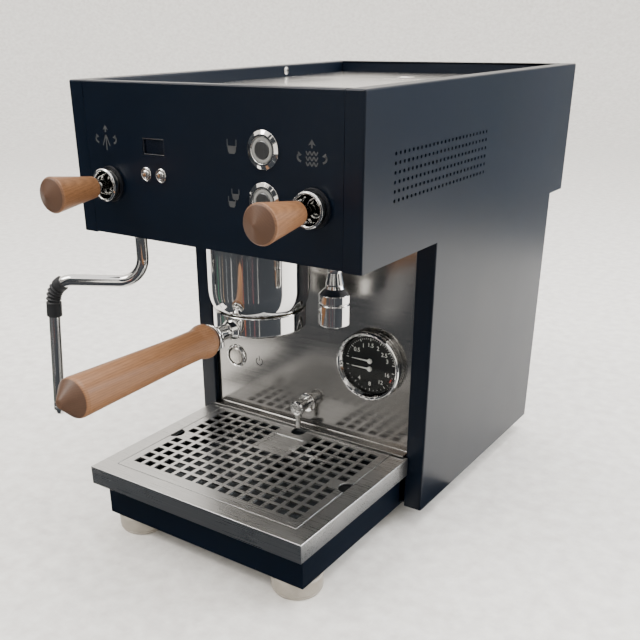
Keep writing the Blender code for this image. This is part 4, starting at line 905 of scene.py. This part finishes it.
# ---- steam wand and hot-water tap ----
WAND_AZIMUTH = math.radians(208)
WAND_DROP = 0.053
WAND_REACH = 0.080
WAND_FIRST = 0.021
WAND_SECOND = 0.019
WAND_RADIUS = 0.0049
WAND_NECK = 0.0042          # where it passes through the head's floor
WAND_LENGTH = 0.175
WAND_LEAN = 0.0072
WAND_TIP = 0.012


def arc(centre, radius, start, end, steps):
    """Points on an arc in the (reach, height) plane; angles in degrees."""
    angles = [math.radians(start + (end - start) * i / steps) for i in range(steps + 1)]
    return [Vector((centre[0] + radius * math.cos(a), centre[1] + radius * math.sin(a))) for a in angles]


def in_wand_plane(points):
    pivot = middle("steam_ball_seat")
    across = Vector((math.cos(WAND_AZIMUTH), math.sin(WAND_AZIMUTH), 0))
    return [pivot + across * point[0] + Vector((0, 0, point[1])) for point in points]


def dense(points, step):
    """Points at even steps along a polyline."""
    result = [points[0].copy()]
    for first, second in zip(points, points[1:]):
        count = max(1, round((second - first).length / step))
        result += [first.lerp(second, (i + 1) / count) for i in range(count)]
    return result


GRIP_RADIUS = 0.0064
GRIP_CUFF = 0.0052
GRIP_RIB = 0.0031
GRIP_RIBS = 5


def steam_wand():
    first = arc((WAND_FIRST, WAND_FIRST - WAND_DROP), WAND_FIRST, 180, 270, 20)
    second = arc((WAND_REACH - WAND_SECOND, -WAND_DROP - WAND_SECOND), WAND_SECOND, 90, 4, 18)
    end = Vector((WAND_REACH + WAND_LEAN, WAND_TIP - WAND_LENGTH))
    line = [Vector((0, 0)), Vector((0, -0.0118)), Vector((0, -0.0124)), *first, *second, end]
    points = in_wand_plane(line)
    pivot = middle("steam_ball_seat")
    ball = lathe([(0.0065 * math.sin(math.radians(a)), 0.0065 * math.cos(math.radians(a)))
        for a in range(0, 181, 12)], pivot, "Z", 0, 48)
    ferrule = lathe([(0.0040, -0.0124), (0.0055, -0.0126), (0.0056, -0.0150), (0.0052, -0.0158),
        (0.0040, -0.0160)], pivot, "Z", 0.0003, 48, True)
    tube = swept(points, [WAND_NECK] * 2 + [WAND_RADIUS] * (len(points) - 2), 44)
    piece("steam_wand", joined(union(tube, ball), ferrule), CHROME, "steam_wand")
    fall = (end - second[-1]).normalized()
    grip_line = [*second[6:], second[-1] + fall * 0.0135]
    grip_points = dense(in_wand_plane(grip_line), 0.00032)
    travelled = 0.0
    radii = []
    for index, point in enumerate(grip_points):
        if index:
            travelled += (point - grip_points[index - 1]).length
        rib = 0.5 - 0.5 * math.cos(2 * math.pi * (travelled - GRIP_CUFF) / GRIP_RIB)
        cuff = travelled < GRIP_CUFF or travelled > GRIP_CUFF + GRIP_RIBS * GRIP_RIB
        radii.append(GRIP_RADIUS - (0.0 if cuff else 0.0011 * min(1.0, 1.3 * rib)))
    radii[0] = radii[-1] = GRIP_RADIUS - 0.0006
    piece("steam_wand_grip", swept(grip_points, radii, 40), RUBBER, "steam_wand")
    top = in_wand_plane([end + fall * 0.0003])[0]
    tip = lathe([(0, 0), (0.0046, 0), (0.0050, -0.0016), (0.0050, -0.0036), (0.0046, -0.0041),
        (0.0050, -0.0046), (0.0050, -0.0070), (0.0036, -0.0105), (0.0024, -WAND_TIP), (0, -WAND_TIP)],
        (0, 0, 0), "Z", 0.0004, 56)
    across = in_wand_plane([-fall])[0] - in_wand_plane([(0, 0)])[0]
    tip.transform(Matrix.Translation(top) @ across.to_track_quat("Z", "X").to_matrix().to_4x4())
    piece("steam_tip", tip, CHROME, "steam_wand")


def water_tap():
    low, high = span("water_tap")
    at = (low + high) / 2
    radius = (high.x - low.x) / 2
    top, bottom = high.z, low.z
    shoulder = bottom + 0.023
    neck = 0.0047
    profile = [(0, top), (0.009, top), (0.009, HEAD_BOTTOM + 0.0023), (neck, HEAD_BOTTOM + 0.0022),
        (neck, HEAD_BOTTOM - 0.0045), (neck + 0.0004, HEAD_BOTTOM - 0.0060),
        (neck + 0.0004, HEAD_BOTTOM - 0.0075), (neck, HEAD_BOTTOM - 0.0085),
        (1.38 * neck, shoulder + 0.0066), (1.30 * neck, shoulder + 0.0056),
        (1.50 * neck, shoulder + 0.0036), (0.86 * radius, shoulder + 0.0012), (radius, shoulder - 0.0006),
        (radius, bottom + 0.0168), (radius - 0.0006, bottom + 0.0164), (radius - 0.0006, bottom + 0.0156),
        (radius, bottom + 0.0152), (radius, bottom + 0.0012), (radius - 0.0010, bottom),
        (0.80 * radius, bottom), (0.80 * radius, bottom + 0.012), (0, bottom + 0.012)]
    piece("water_tap", lathe(profile, (at.x, at.y, 0), "Z", 0.0005, 96), CHROME)
    screen = lathe([(0, bottom + 0.0045), (0.79 * radius, bottom + 0.0045),
        (0.79 * radius, bottom + 0.0035), (0, bottom + 0.0035)], (at.x, at.y, 0), "Z", 0.0002, 48)
    holes = [rod(0.0008, 0.003, (at.x + 0.0024 * a, at.y + 0.0024 * b, bottom + 0.0025), "Z", 10)
        for a in range(-3, 4) for b in range(-3, 4) if a * a + b * b <= 9]
    piece("tap_aerator", cut(screen, *holes), STEEL_X)


# ---- pressure gauge ----
DIAL_NUMBER_RADIUS = 0.0172
STEAM_NUMBERS = ("0.5", "1", "1.5", "2", "2.5", "3")
BREW_NUMBERS = ("4", "8", "12", "16")


def lettering(text, size, x, z, y, thickness=0.00004):
    """Plain numerals standing on a plane that faces the front."""
    curve = bpy.data.curves.new("numerals", "FONT")
    curve.body = text
    curve.size = size
    curve.align_x = "CENTER"
    curve.align_y = "CENTER"
    curve.extrude = thickness
    curve.offset = 0.00004
    guide = bpy.data.objects.new("numerals", curve)
    link(guide)
    bpy.context.view_layer.update()
    mesh = bpy.data.meshes.new_from_object(guide.evaluated_get(bpy.context.evaluated_depsgraph_get()))
    bpy.data.objects.remove(guide)
    mesh.transform(Matrix.Translation((x, y, z)) @ Matrix.Rotation(math.radians(90), 4, "X"))
    return mesh


def ribbon(points, width, y, x=0.0, z=0.0, scale=1.0, thickness=0.00005):
    """A flat stroke along (across, up) points, on a plane that faces the front."""
    line = [Vector(point) * scale for point in points]
    shape = bmesh.new()
    rails = []
    for index, point in enumerate(line):
        ahead = line[min(index + 1, len(line) - 1)] - line[max(index - 1, 0)]
        side = Vector((-ahead.y, ahead.x)).normalized() * width / 2
        rails.append([shape.verts.new((x + p.x, y, z + p.y)) for p in (point + side, point - side)])
    for (a, b), (c, d) in zip(rails, rails[1:]):
        shape.faces.new((a, b, d, c))
    bmesh.ops.recalc_face_normals(shape, faces=shape.faces)
    solid = bmesh.ops.extrude_face_region(shape, geom=shape.faces[:])
    moved = [v for v in solid["geom"] if isinstance(v, bmesh.types.BMVert)]
    bmesh.ops.translate(shape, verts=moved, vec=(0, -thickness, 0))
    bmesh.ops.recalc_face_normals(shape, faces=shape.faces)
    return to_mesh(shape)


def patch(points, y, x=0.0, z=0.0, scale=1.0, thickness=0.00005):
    """A filled outline of (across, up) points, on a plane that faces the front."""
    shape = bmesh.new()
    face = shape.faces.new([shape.verts.new((x + px * scale, y, z + pz * scale)) for px, pz in points])
    solid = bmesh.ops.extrude_face_region(shape, geom=[face])
    moved = [v for v in solid["geom"] if isinstance(v, bmesh.types.BMVert)]
    bmesh.ops.translate(shape, verts=moved, vec=(0, -thickness, 0))
    bmesh.ops.recalc_face_normals(shape, faces=shape.faces)
    return to_mesh(shape)


def toward(pivot_z, angle, radius):
    """Where a ray from a needle's axis, at an angle above +X, meets a circle about the dial's centre."""
    direction = Vector((math.cos(angle), math.sin(angle)))
    start = Vector((0, pivot_z))
    along = -start.dot(direction) + math.sqrt(start.dot(direction) ** 2 - start.length_squared + radius
        * radius)
    return start + direction * along


def dial_face(y):
    """Ticks and numbers of the two scales."""
    lift = middle("steam_needle").z - GAUGE.z
    marks = []
    for sign, numbers, minor in ((1, STEAM_NUMBERS, 5), (-1, BREW_NUMBERS, 4)):
        steps = len(numbers)
        for index in range(steps * minor + 1):
            angle = sign * math.pi * (1 - index / (steps * minor))
            long = index % minor == 0
            inner = toward(sign * lift, angle, 0.0212 if long else 0.0222)
            outer = toward(sign * lift, angle, 0.0234)
            marks.append(ribbon([inner, outer], 0.00055 if long else 0.00028, y, GAUGE.x, GAUGE.z))
        for index, number in enumerate(numbers):
            angle = sign * math.pi * (1 - (index + 1) / steps)
            if index == steps - 1:
                angle += sign * math.radians(9)
            at = toward(sign * lift, angle, DIAL_NUMBER_RADIUS)
            marks.append(lettering(number, 0.0050, GAUGE.x + at.x, GAUGE.z + at.y, y))
    return joined(*marks)


def pressure_gauge():
    low, high = span("gauge_case")
    radius = (high.x - low.x) / 2
    front = low.y
    proud = SPLASH_Y - front - 0.0003
    profile = [(0, 0.033), (0.0264, 0.033), (0.0264, proud), (radius - 0.0016, proud),
        (radius - 0.0016, 0.0046), (radius, 0.0040), (radius, 0.0014), (radius - 0.0008, 0.0003),
        (radius - 0.0017, 0.0), (radius - 0.0030, 0.0008), (0.0257, 0.0034), (0.0252, 0.0042),
        (0.0252, 0.031), (0, 0.031)]
    piece("gauge_case", lathe(profile, (GAUGE.x, front, GAUGE.z), "Y", 0.0007, 128, steps=6), CHROME)
    lens_low, lens_high = span("gauge_lens")
    lens_radius = (lens_high.x - lens_low.x) / 2
    lens = lathe([(0, 0.0040), (lens_radius, 0.0040), (lens_radius, 0.0030), (0, 0.0030)],
        (GAUGE.x, front, GAUGE.z), "Y", 0.0002, 96)
    piece("gauge_lens", lens, GLASS)
    face_y = span("gauge_dial")[0].y
    disc = lathe([(0, 0.001), (lens_radius, 0.001), (lens_radius, 0), (0, 0)], (GAUGE.x, face_y, GAUGE.z),
        "Y", 0.0002, 96)
    lift = middle("steam_needle").z - GAUGE.z
    axles = [rod(0.0011, 0.006, (GAUGE.x, face_y - 0.003, GAUGE.z + sign * lift), "Y", 20)
        for sign in (-1, 1)]
    piece("gauge_dial", cut(disc, *axles), DIAL)
    print_y = face_y - 0.00002
    piece("dial_numbers", dial_face(print_y), DIAL_PRINT)
    red = [toward(-lift, math.radians(a), 0.0224) for a in (-24, -21, -18, -15)]
    piece("dial_limit_mark", ribbon(red, 0.0011, print_y, GAUGE.x, GAUGE.z), DIAL_RED)
    for prefix in ("steam", "brew"):
        needle_low, needle_high = span(f"{prefix}_needle")
        z = (needle_low.z + needle_high.z) / 2
        tip = needle_low.x
        hub = lathe([(0, 0.0088), (0.0008, 0.0088), (0.0008, 0.0060), (0.0022, 0.0060), (0.0022, 0.0050),
            (0.0017, 0.0042), (0.0010, 0.0042), (0.0009, 0.0046), (0, 0.0046)], (GAUGE.x, front, z), "Y",
            0.0003, 48)
        pointer = patch([(tip, -0.0002), (GAUGE.x - 0.002, -0.00065), (GAUGE.x + 0.0018, -0.00065),
            (GAUGE.x + 0.0018, 0.00065), (GAUGE.x - 0.002, 0.00065), (tip, 0.0002)], front + 0.0058, 0, z,
            1.0, 0.0005)
        piece(f"{prefix}_needle", union(hub, pointer), NEEDLE, f"{prefix}_needle")


# ---- buttons, display and icons ----
def cup_button(prefix):
    at = CUP_BUTTONS[prefix]
    low, high = span(f"{prefix}_bezel")
    radius = (high.x - low.x) / 2
    bezel = [(0.0091, 0.014), (0.0091, -0.0002), (radius, -0.0002), (radius, -0.0009), (0.0100, -0.0022),
        (0.0088, -0.0022), (0.00845, -0.0016), (0.00845, 0.014)]
    piece(f"{prefix}_bezel", lathe(bezel, (at.x, 0, at.z), "Y", 0.0003, 96, True), CHROME)
    face = low.y + 0.0003
    core = 0.0058
    ring = [(core + 0.0001, 0.006), (0.0082, 0.006), (0.0082, face + 0.0003), (0.0074, face),
        (core + 0.0004, face), (core + 0.0001, face + 0.0003)]
    piece(f"{prefix}_light_ring", lathe(ring, (at.x, 0, at.z), "Y", 0.0003, 80, True), LIGHT_RING,
        f"{prefix}_button")
    cap = [(0, 0.0085), (core, 0.0085), (core, face + 0.0001), (core - 0.0004, face - 0.0002),
        (0, face - 0.0002)]
    piece(f"{prefix}_button", lathe(cap, (at.x, 0, at.z), "Y", 0.0002, 72), BUTTON_STEEL, f"{prefix}_button")


def power_switch():
    low, high = span("power_bezel")
    radius = (high.x - low.x) / 2
    y = SPLASH_Y
    bezel = lathe([(0.0091, 0.014), (0.0091, -0.0002), (radius, -0.0002), (radius, -0.0010),
        (radius - 0.0007, -0.0021), (0.0090, -0.0022), (0.0086, -0.0018), (0.0086, 0.014)],
        (POWER.x, y, POWER.z), "Y", 0.0003, 96, True)
    notches = []
    for index in range(10):
        angle = 2 * math.pi * index / 10
        at = (POWER.x + 1.06 * radius * math.cos(angle), y - 0.006, POWER.z + 1.06 * radius * math.sin(angle))
        notches.append(rod(0.0022, 0.0052, at, "Y", 20))
    piece("power_bezel", bevelled(cut(bezel, *notches), 0.0002, 2, 50), CHROME)
    button_low, button_high = span("power_button")
    face = button_low.y - y
    cap = lathe([(0, 0.0085), (0.0078, 0.0085), (0.0078, face + 0.0008), (0.0070, face + 0.0002),
        (0.0040, face), (0, face)], (POWER.x, y, POWER.z), "Y", 0.0005, 80)
    piece("power_button", cap, SILVER, "power_button")


def menu_buttons():
    for side, at in MENU.items():
        ring = [(0.0046, 0.0030), (0.0046, 0.0002), (0.0050, -0.0003), (0.0050, -0.0009), (0.0043, -0.0014),
            (0.0037, -0.0009), (0.0037, 0.0030)]
        piece(f"menu_ring_{side}", lathe(ring, (at.x, 0, at.z), "Y", 0.0003, 64, True), CHROME)
        dome = [(0, 0.0060), (0.0035, 0.0060), (0.0035, -0.0008), (0.0030, -0.0020), (0.0018, -0.0027),
            (0, -0.0029)]
        piece(f"menu_button_{side}", lathe(dome, (at.x, 0, at.z), "Y", 0.0010, 64, steps=6), CHROME,
            f"menu_button_{side}")


def display():
    low, high = DISPLAY_LOW, DISPLAY_HIGH
    bezel = block((low.x + 0.0001, 0.0001, low.z + 0.0001), (high.x - 0.0001, 0.0046, high.z - 0.0001))
    opening = block((low.x + 0.0011, -0.001, low.z + 0.0011), (high.x - 0.0011, 0.006, high.z - 0.0011))
    piece("display_frame", bevelled(cut(bezel, opening), 0.0006, 3), GLOSS_BLACK)
    glass = block((low.x + 0.0007, 0.0016, low.z + 0.0007), (high.x - 0.0007, 0.0058, high.z - 0.0007))
    piece("display_window", bevelled(glass, 0.0003, 2), GLOSS_BLACK)


def up_arrow(x, z, size):
    """A broad arrow head over a short stroke, both pointing up; z is the tip's height."""
    head = patch([(0, 0), (-0.5 * size, -0.68 * size), (-0.14 * size, -0.55 * size),
        (0.14 * size, -0.55 * size), (0.5 * size, -0.68 * size)], ICON_Y, x, z)
    return [head, ribbon([(0, -0.55 * size), (0, -0.95 * size)], 0.22 * size, ICON_Y, x, z)]


def curled_arrow(x, z, side, size):
    """An arrow that curls up and outward, to the right where side is 1."""
    path = [(side * size * (0.62 * math.sin(a) - 0.25), -0.5 * size * math.cos(a))
        for a in (math.radians(10 + 13 * i) for i in range(10))]
    end = path[-1]
    head = patch([(end[0] - side * 0.50 * size, end[1] - 0.02 * size),
        (end[0] + side * 0.02 * size, end[1] + 0.36 * size),
        (end[0] + side * 0.14 * size, end[1] - 0.30 * size)], ICON_Y, x, z)
    return [ribbon(path, 0.26 * size, ICON_Y, x, z), head]


ICON_Y = -0.00001


def cup_icon(x, z, size):
    """A cup seen from the side: two walls, a filled lower half and a flared foot."""
    walls = [ribbon([(s * 0.46, 0.62), (s * 0.46, 0.05)], 0.0006, ICON_Y, x, z, size) for s in (-1, 1)]
    fill = patch([(-0.46, 0.12), (0.46, 0.12), (0.40, -0.32), (0.26, -0.50), (-0.26, -0.50),
        (-0.40, -0.32)], ICON_Y, x, z, size)
    return [*walls, fill]


def panel_icons():
    steam_x = VALVES["steam"].x - 0.0018
    water_x = VALVES["water"].x - 0.0018
    mark_z = VALVES["steam"].z + 0.0330
    marks = []
    for foot, drop, thick in ((-0.0036, -0.0058, 0.0009), (0.0, -0.0090, 0.0012), (0.0034, -0.0058, 0.0009)):
        marks.append(ribbon([(0.08 * foot, 0.0018), (foot, drop)], thick, ICON_Y, steam_x, mark_z))
    marks += up_arrow(steam_x, mark_z + 0.0090, 0.0056)
    marks += curled_arrow(steam_x - 0.0086, mark_z - 0.0012, -1, 0.0052)
    marks += curled_arrow(steam_x + 0.0084, mark_z - 0.0012, 1, 0.0052)
    for row in range(3):
        wave = [(-0.0046 + 0.0092 * i / 36, 0.0010 * math.cos(6 * math.pi * i / 36)) for i in range(37)]
        marks.append(ribbon(wave, 0.0009, ICON_Y, water_x, mark_z - 0.0060 + 0.0033 * row))
    marks += up_arrow(water_x, mark_z + 0.0090, 0.0056)
    marks += curled_arrow(water_x - 0.0090, mark_z - 0.0022, -1, 0.0052)
    marks += curled_arrow(water_x + 0.0090, mark_z - 0.0022, 1, 0.0052)
    cups_x = CUP_BUTTONS["one_cup"].x - 0.0262
    marks += cup_icon(cups_x, CUP_BUTTONS["one_cup"].z, 0.0082)
    double_z = CUP_BUTTONS["two_cup"].z
    marks += cup_icon(cups_x + 0.0017, double_z + 0.0020, 0.0066)
    marks += cup_icon(cups_x - 0.0015, double_z - 0.0032, 0.0066)
    piece("panel_icons", joined(*marks), PRINT)


def power_icon():
    y = SPLASH_Y - 0.00001
    x, z = POWER.x + 0.0266, POWER.z - 0.0004
    ring = [(0.0036 * math.sin(a), 0.0036 * math.cos(a)) for a in (math.radians(35 + 290 * i / 30)
        for i in range(31))]
    marks = [ribbon(ring, 0.0008, y, x, z), ribbon([(0, 0.0006), (0, 0.0052)], 0.0008, y, x, z)]
    piece("power_icon", joined(*marks), DARK_PRINT)


# ---- tank and inlet ----
def water_tank():
    low, high = span("water_tank")
    wall = 0.002
    outer = bevelled(block(low, high), 0.008, 6, 60)
    hollow = bevelled(block((low.x + wall, low.y + wall, low.z + wall),
        (high.x - wall, high.y - wall, high.z + 0.02)), 0.006, 6, 60)
    mesh = cut(outer, hollow)
    trim = cut(mesh, block((low.x - 0.01, low.y - 0.01, high.z - 0.0082),
        (high.x + 0.01, high.y + 0.01, high.z + 0.03)))
    piece("water_tank", bevelled(trim, 0.0004, 2, 50), TANK, "water_tank")


def power_inlet():
    low, high = span("power_inlet")
    x, z = (low.x + high.x) / 2, (low.z + high.z) / 2
    y = low.y + 0.006
    pins = [block((x + dx - 0.001, y, z + dz - 0.002), (x + dx + 0.001, high.y - 0.004, z + dz + 0.002))
        for dx, dz in ((-0.007, -0.002), (0, 0.003), (0.007, -0.002))]
    piece("inlet_pins", bevelled(joined(*pins), 0.0003, 2), BRASS)


KEPT = {"upper_floor": PAINT, "shower_screen": STEEL_X, "filter_basket": STEEL_X, "drip_pan": PAN_STEEL,
    "steam_ball_seat": PLASTIC, "steam_ball_nut": BRASS, "brew_boiler": BOILER, "steam_boiler": BOILER,
    "pump": PLASTIC, "control_box": PLASTIC, "power_inlet": PLASTIC,}


def dress_kept_nodes():
    """Gives the CAD nodes that stay in view of nothing finer their finish."""
    for name, material in KEPT.items():
        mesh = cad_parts[name].data
        mesh.materials.clear()
        mesh.materials.append(material)


# ---- stage, light and camera ----
# Left and right edges of the flags that stand in front, painted dark reflections seen only in polished parts.
FRONT_FLAGS = ((-1.4, -1.02), (-0.96, -0.62), (-0.50, -0.34), (-0.28, 0.02), (0.08, 0.34), (0.50, 0.78),
    (0.86, 1.4))


# Painted reflections of the surroundings: coloured strips on the floor, seen only in reflections, that lie
# round the brew group: angle to the right of straight ahead, width, colour.
GROUP_REFLECTION_STRIPS = ((-64, 0.020, (0.02, 0.35, 0.16)), (-56, 0.012, (0.85, 0.84, 0.80)),
    (-48, 0.016, (0.60, 0.42, 0.26)), (-37, 0.009, (0.75, 0.78, 0.80)), (-24, 0.022, (0.85, 0.85, 0.86)),
    (-10, 0.009, (0.35, 0.24, 0.16)), (2, 0.014, (0.62, 0.12, 0.04)), (13, 0.007, (0.60, 0.62, 0.64)),
    (24, 0.010, (0.45, 0.10, 0.12)), (35, 0.014, (0.70, 0.70, 0.68)))


def reflection_card(name, low, high, material, centre=(0, 0, 0), angle=0):
    """A studio flag that shows only in reflections; it paints a dark or tinted reflection into what polished
    parts mirror.
    """
    new = bpy.data.objects.new(name, block(low, high))
    new.data.materials.append(material)
    new.location = ORIGIN + Vector(centre)
    new.rotation_euler.z = math.radians(angle)
    for ray in ("camera", "diffuse", "transmission", "volume_scatter", "shadow"):
        setattr(new, "visible_" + ray, False)
    link(new)


# Flags that lie on the floor, painted dark reflections seen only in polished parts: left, near, right and far
# edge.
TABLE_FLAGS = {
    "table_far": (-1.40, -1.10, 1.40, -0.40),
    "table_near": (-0.24, -0.40, 1.40, -0.030),
    "tray_side": (0.106, -0.030, 0.17, 0.205),
    "table_left": (-1.40, -0.40, -0.24, -0.17),
    "table_side_left": (-1.40, -0.17, -0.36, 0.10),
    "table_side_right": (0.17, -0.03, 1.40, 0.035),
}
FLOOR_RADIUS = 2.6
BACKDROP_BEND = 1.3
BACKDROP_TOP = 3.4
FLAG_LOW = 0.0010
FLAG_TOP = 0.0012


def stage():
    bend = [math.radians(6 * i) for i in range(1, 16)]
    curve = [(FLOOR_RADIUS + BACKDROP_BEND * math.sin(a), BACKDROP_BEND - BACKDROP_BEND * math.cos(a))
        for a in bend]
    profile = [(0, 0), (FLOOR_RADIUS, 0), *curve, (FLOOR_RADIUS + BACKDROP_BEND, BACKDROP_TOP)]
    mesh = lathe(profile, (0, 0, 0), "Z", 0, 96)
    mesh.shade_smooth()
    mesh.materials.append(moulded("pale_floor", (0.93, 0.905, 0.875), 0.6, 420, 0.03))
    floor = bpy.data.objects.new("floor", mesh)
    link(floor)
    # Painted reflections: every card below shows only in reflections, as a dark, grey or tinted sheet
    # mirrored in paint and metal.
    black = finish("flag_black", (0.006, 0.010, 0.016), 0.8)
    for name, (left, near, right, far) in TABLE_FLAGS.items():
        reflection_card(f"flag_{name}", (left, near, FLAG_LOW), (right, far, FLAG_TOP), black)
    for index, (left, right) in enumerate(FRONT_FLAGS):
        reflection_card(f"flag_front_{index}", (left, -1.12, 0.0), (right, -1.10, 1.15), black)
    reflection_card("flag_left", (-1.42, -1.1, 0.0), (-1.4, 0.10, 0.9), black)
    reflection_card("flag_right", (1.4, -1.1, 0.0), (1.42, -0.45, 1.0), black)
    reflection_card("flag_right_rear", (1.4, -0.22, 0.0), (1.42, 0.30, 1.0), black)
    grey = finish("flag_grey", (0.10, 0.125, 0.16), 0.8)
    reflection_card("flag_far_right", (0.28, 1.15, 0.0), (1.25, 1.17, 1.2), grey)
    # Painted reflections: tinted strips that show only in the chrome round the brew group.
    for index, (angle, width, reflected_tone) in enumerate(GROUP_REFLECTION_STRIPS):
        reflection_tint = finish(f"reflection_strip_{index}", [0.38 * c for c in reflected_tone], 0.8)
        reflection_card(f"reflection_strip_{index}", (-width / 2, -1.00, 0.0014), (width / 2, -0.45, 0.0016), reflection_tint,
            (0, GROUP.y, 0), angle)


def area_light(name, at, aim, size, power, colour):
    data = bpy.data.lights.new(name, "AREA")
    data.shape = "RECTANGLE"
    data.size, data.size_y = size
    data.energy = power
    data.color = colour
    lamp = bpy.data.objects.new(name, data)
    lamp.location = ORIGIN + Vector(at)
    lamp.rotation_euler = (ORIGIN + Vector(aim) - lamp.location).to_track_quat("-Z", "Y").to_euler()
    link(lamp)


def lights():
    world = bpy.data.worlds.new("studio")
    world.use_nodes = True
    background = world.node_tree.nodes["Background"]
    background.inputs["Color"].default_value = (1.0, 0.972, 0.945, 1)
    background.inputs["Strength"].default_value = 1.75
    bpy.context.scene.world = world
    aim = (0, 0.10, 0.18)
    area_light("key", (-1.0, -0.9, 1.8), aim, (0.8, 0.8), 24, (1.0, 0.96, 0.91))
    area_light("top", (0.2, 0.5, 2.0), aim, (1.6, 1.2), 34, (1.0, 0.98, 0.95))
    area_light("side", (1.1, 0.9, 0.8), (0.32, 0.50, 0), (0.6, 0.6), 14, (0.97, 0.98, 1.0))


CAMERA_AT = Vector((0.39477, -0.45432, 0.39666))
CAMERA_YAW = math.radians(35.548)
CAMERA_PITCH = math.radians(-25.022)
CAMERA_ROLL = math.radians(-0.774)
CAMERA_LENS = 47.449
CAMERA_SHIFT = (0.0469, 0.1563)


def camera():
    data = bpy.data.cameras.new("camera")
    data.lens = CAMERA_LENS
    data.sensor_width = 36
    data.shift_x, data.shift_y = CAMERA_SHIFT
    data.clip_start = 0.01
    data.clip_end = 100
    new = bpy.data.objects.new("camera", data)
    forward = Vector((-math.sin(CAMERA_YAW) * math.cos(CAMERA_PITCH),
        math.cos(CAMERA_YAW) * math.cos(CAMERA_PITCH), math.sin(CAMERA_PITCH)))
    right = Vector((math.cos(CAMERA_YAW), math.sin(CAMERA_YAW), 0))
    up = right.cross(forward)
    rolled_right = right * math.cos(CAMERA_ROLL) + up * math.sin(CAMERA_ROLL)
    rolled_up = up * math.cos(CAMERA_ROLL) - right * math.sin(CAMERA_ROLL)
    new.matrix_world = Matrix.Translation(ORIGIN + CAMERA_AT) @ Matrix((rolled_right, rolled_up,
        -forward)).transposed().to_4x4()
    link(new)
    bpy.context.scene.camera = new


# ---- the machine ----
head_side_cover("upper_left_cover", -1)
head_side_cover("upper_right_cover", 1)
front_panel()
head_rear_cover()
body_side_cover("lower_left_cover", -1)
body_side_cover("lower_right_cover", 1)
body_rear_cover()
splash_panel()
top_plates()
casing_screws()
base_frame()
feet()
tray_surround()
grid()
drain_spout()
group_cover()
portafilter()
handle()
lever_valve("steam")
lever_valve("water")
steam_wand()
water_tap()
pressure_gauge()
cup_button("one_cup")
cup_button("two_cup")
power_switch()
menu_buttons()
display()
panel_icons()
power_icon()
water_tank()
power_inlet()
dress_kept_nodes()
stage()
lights()
camera()
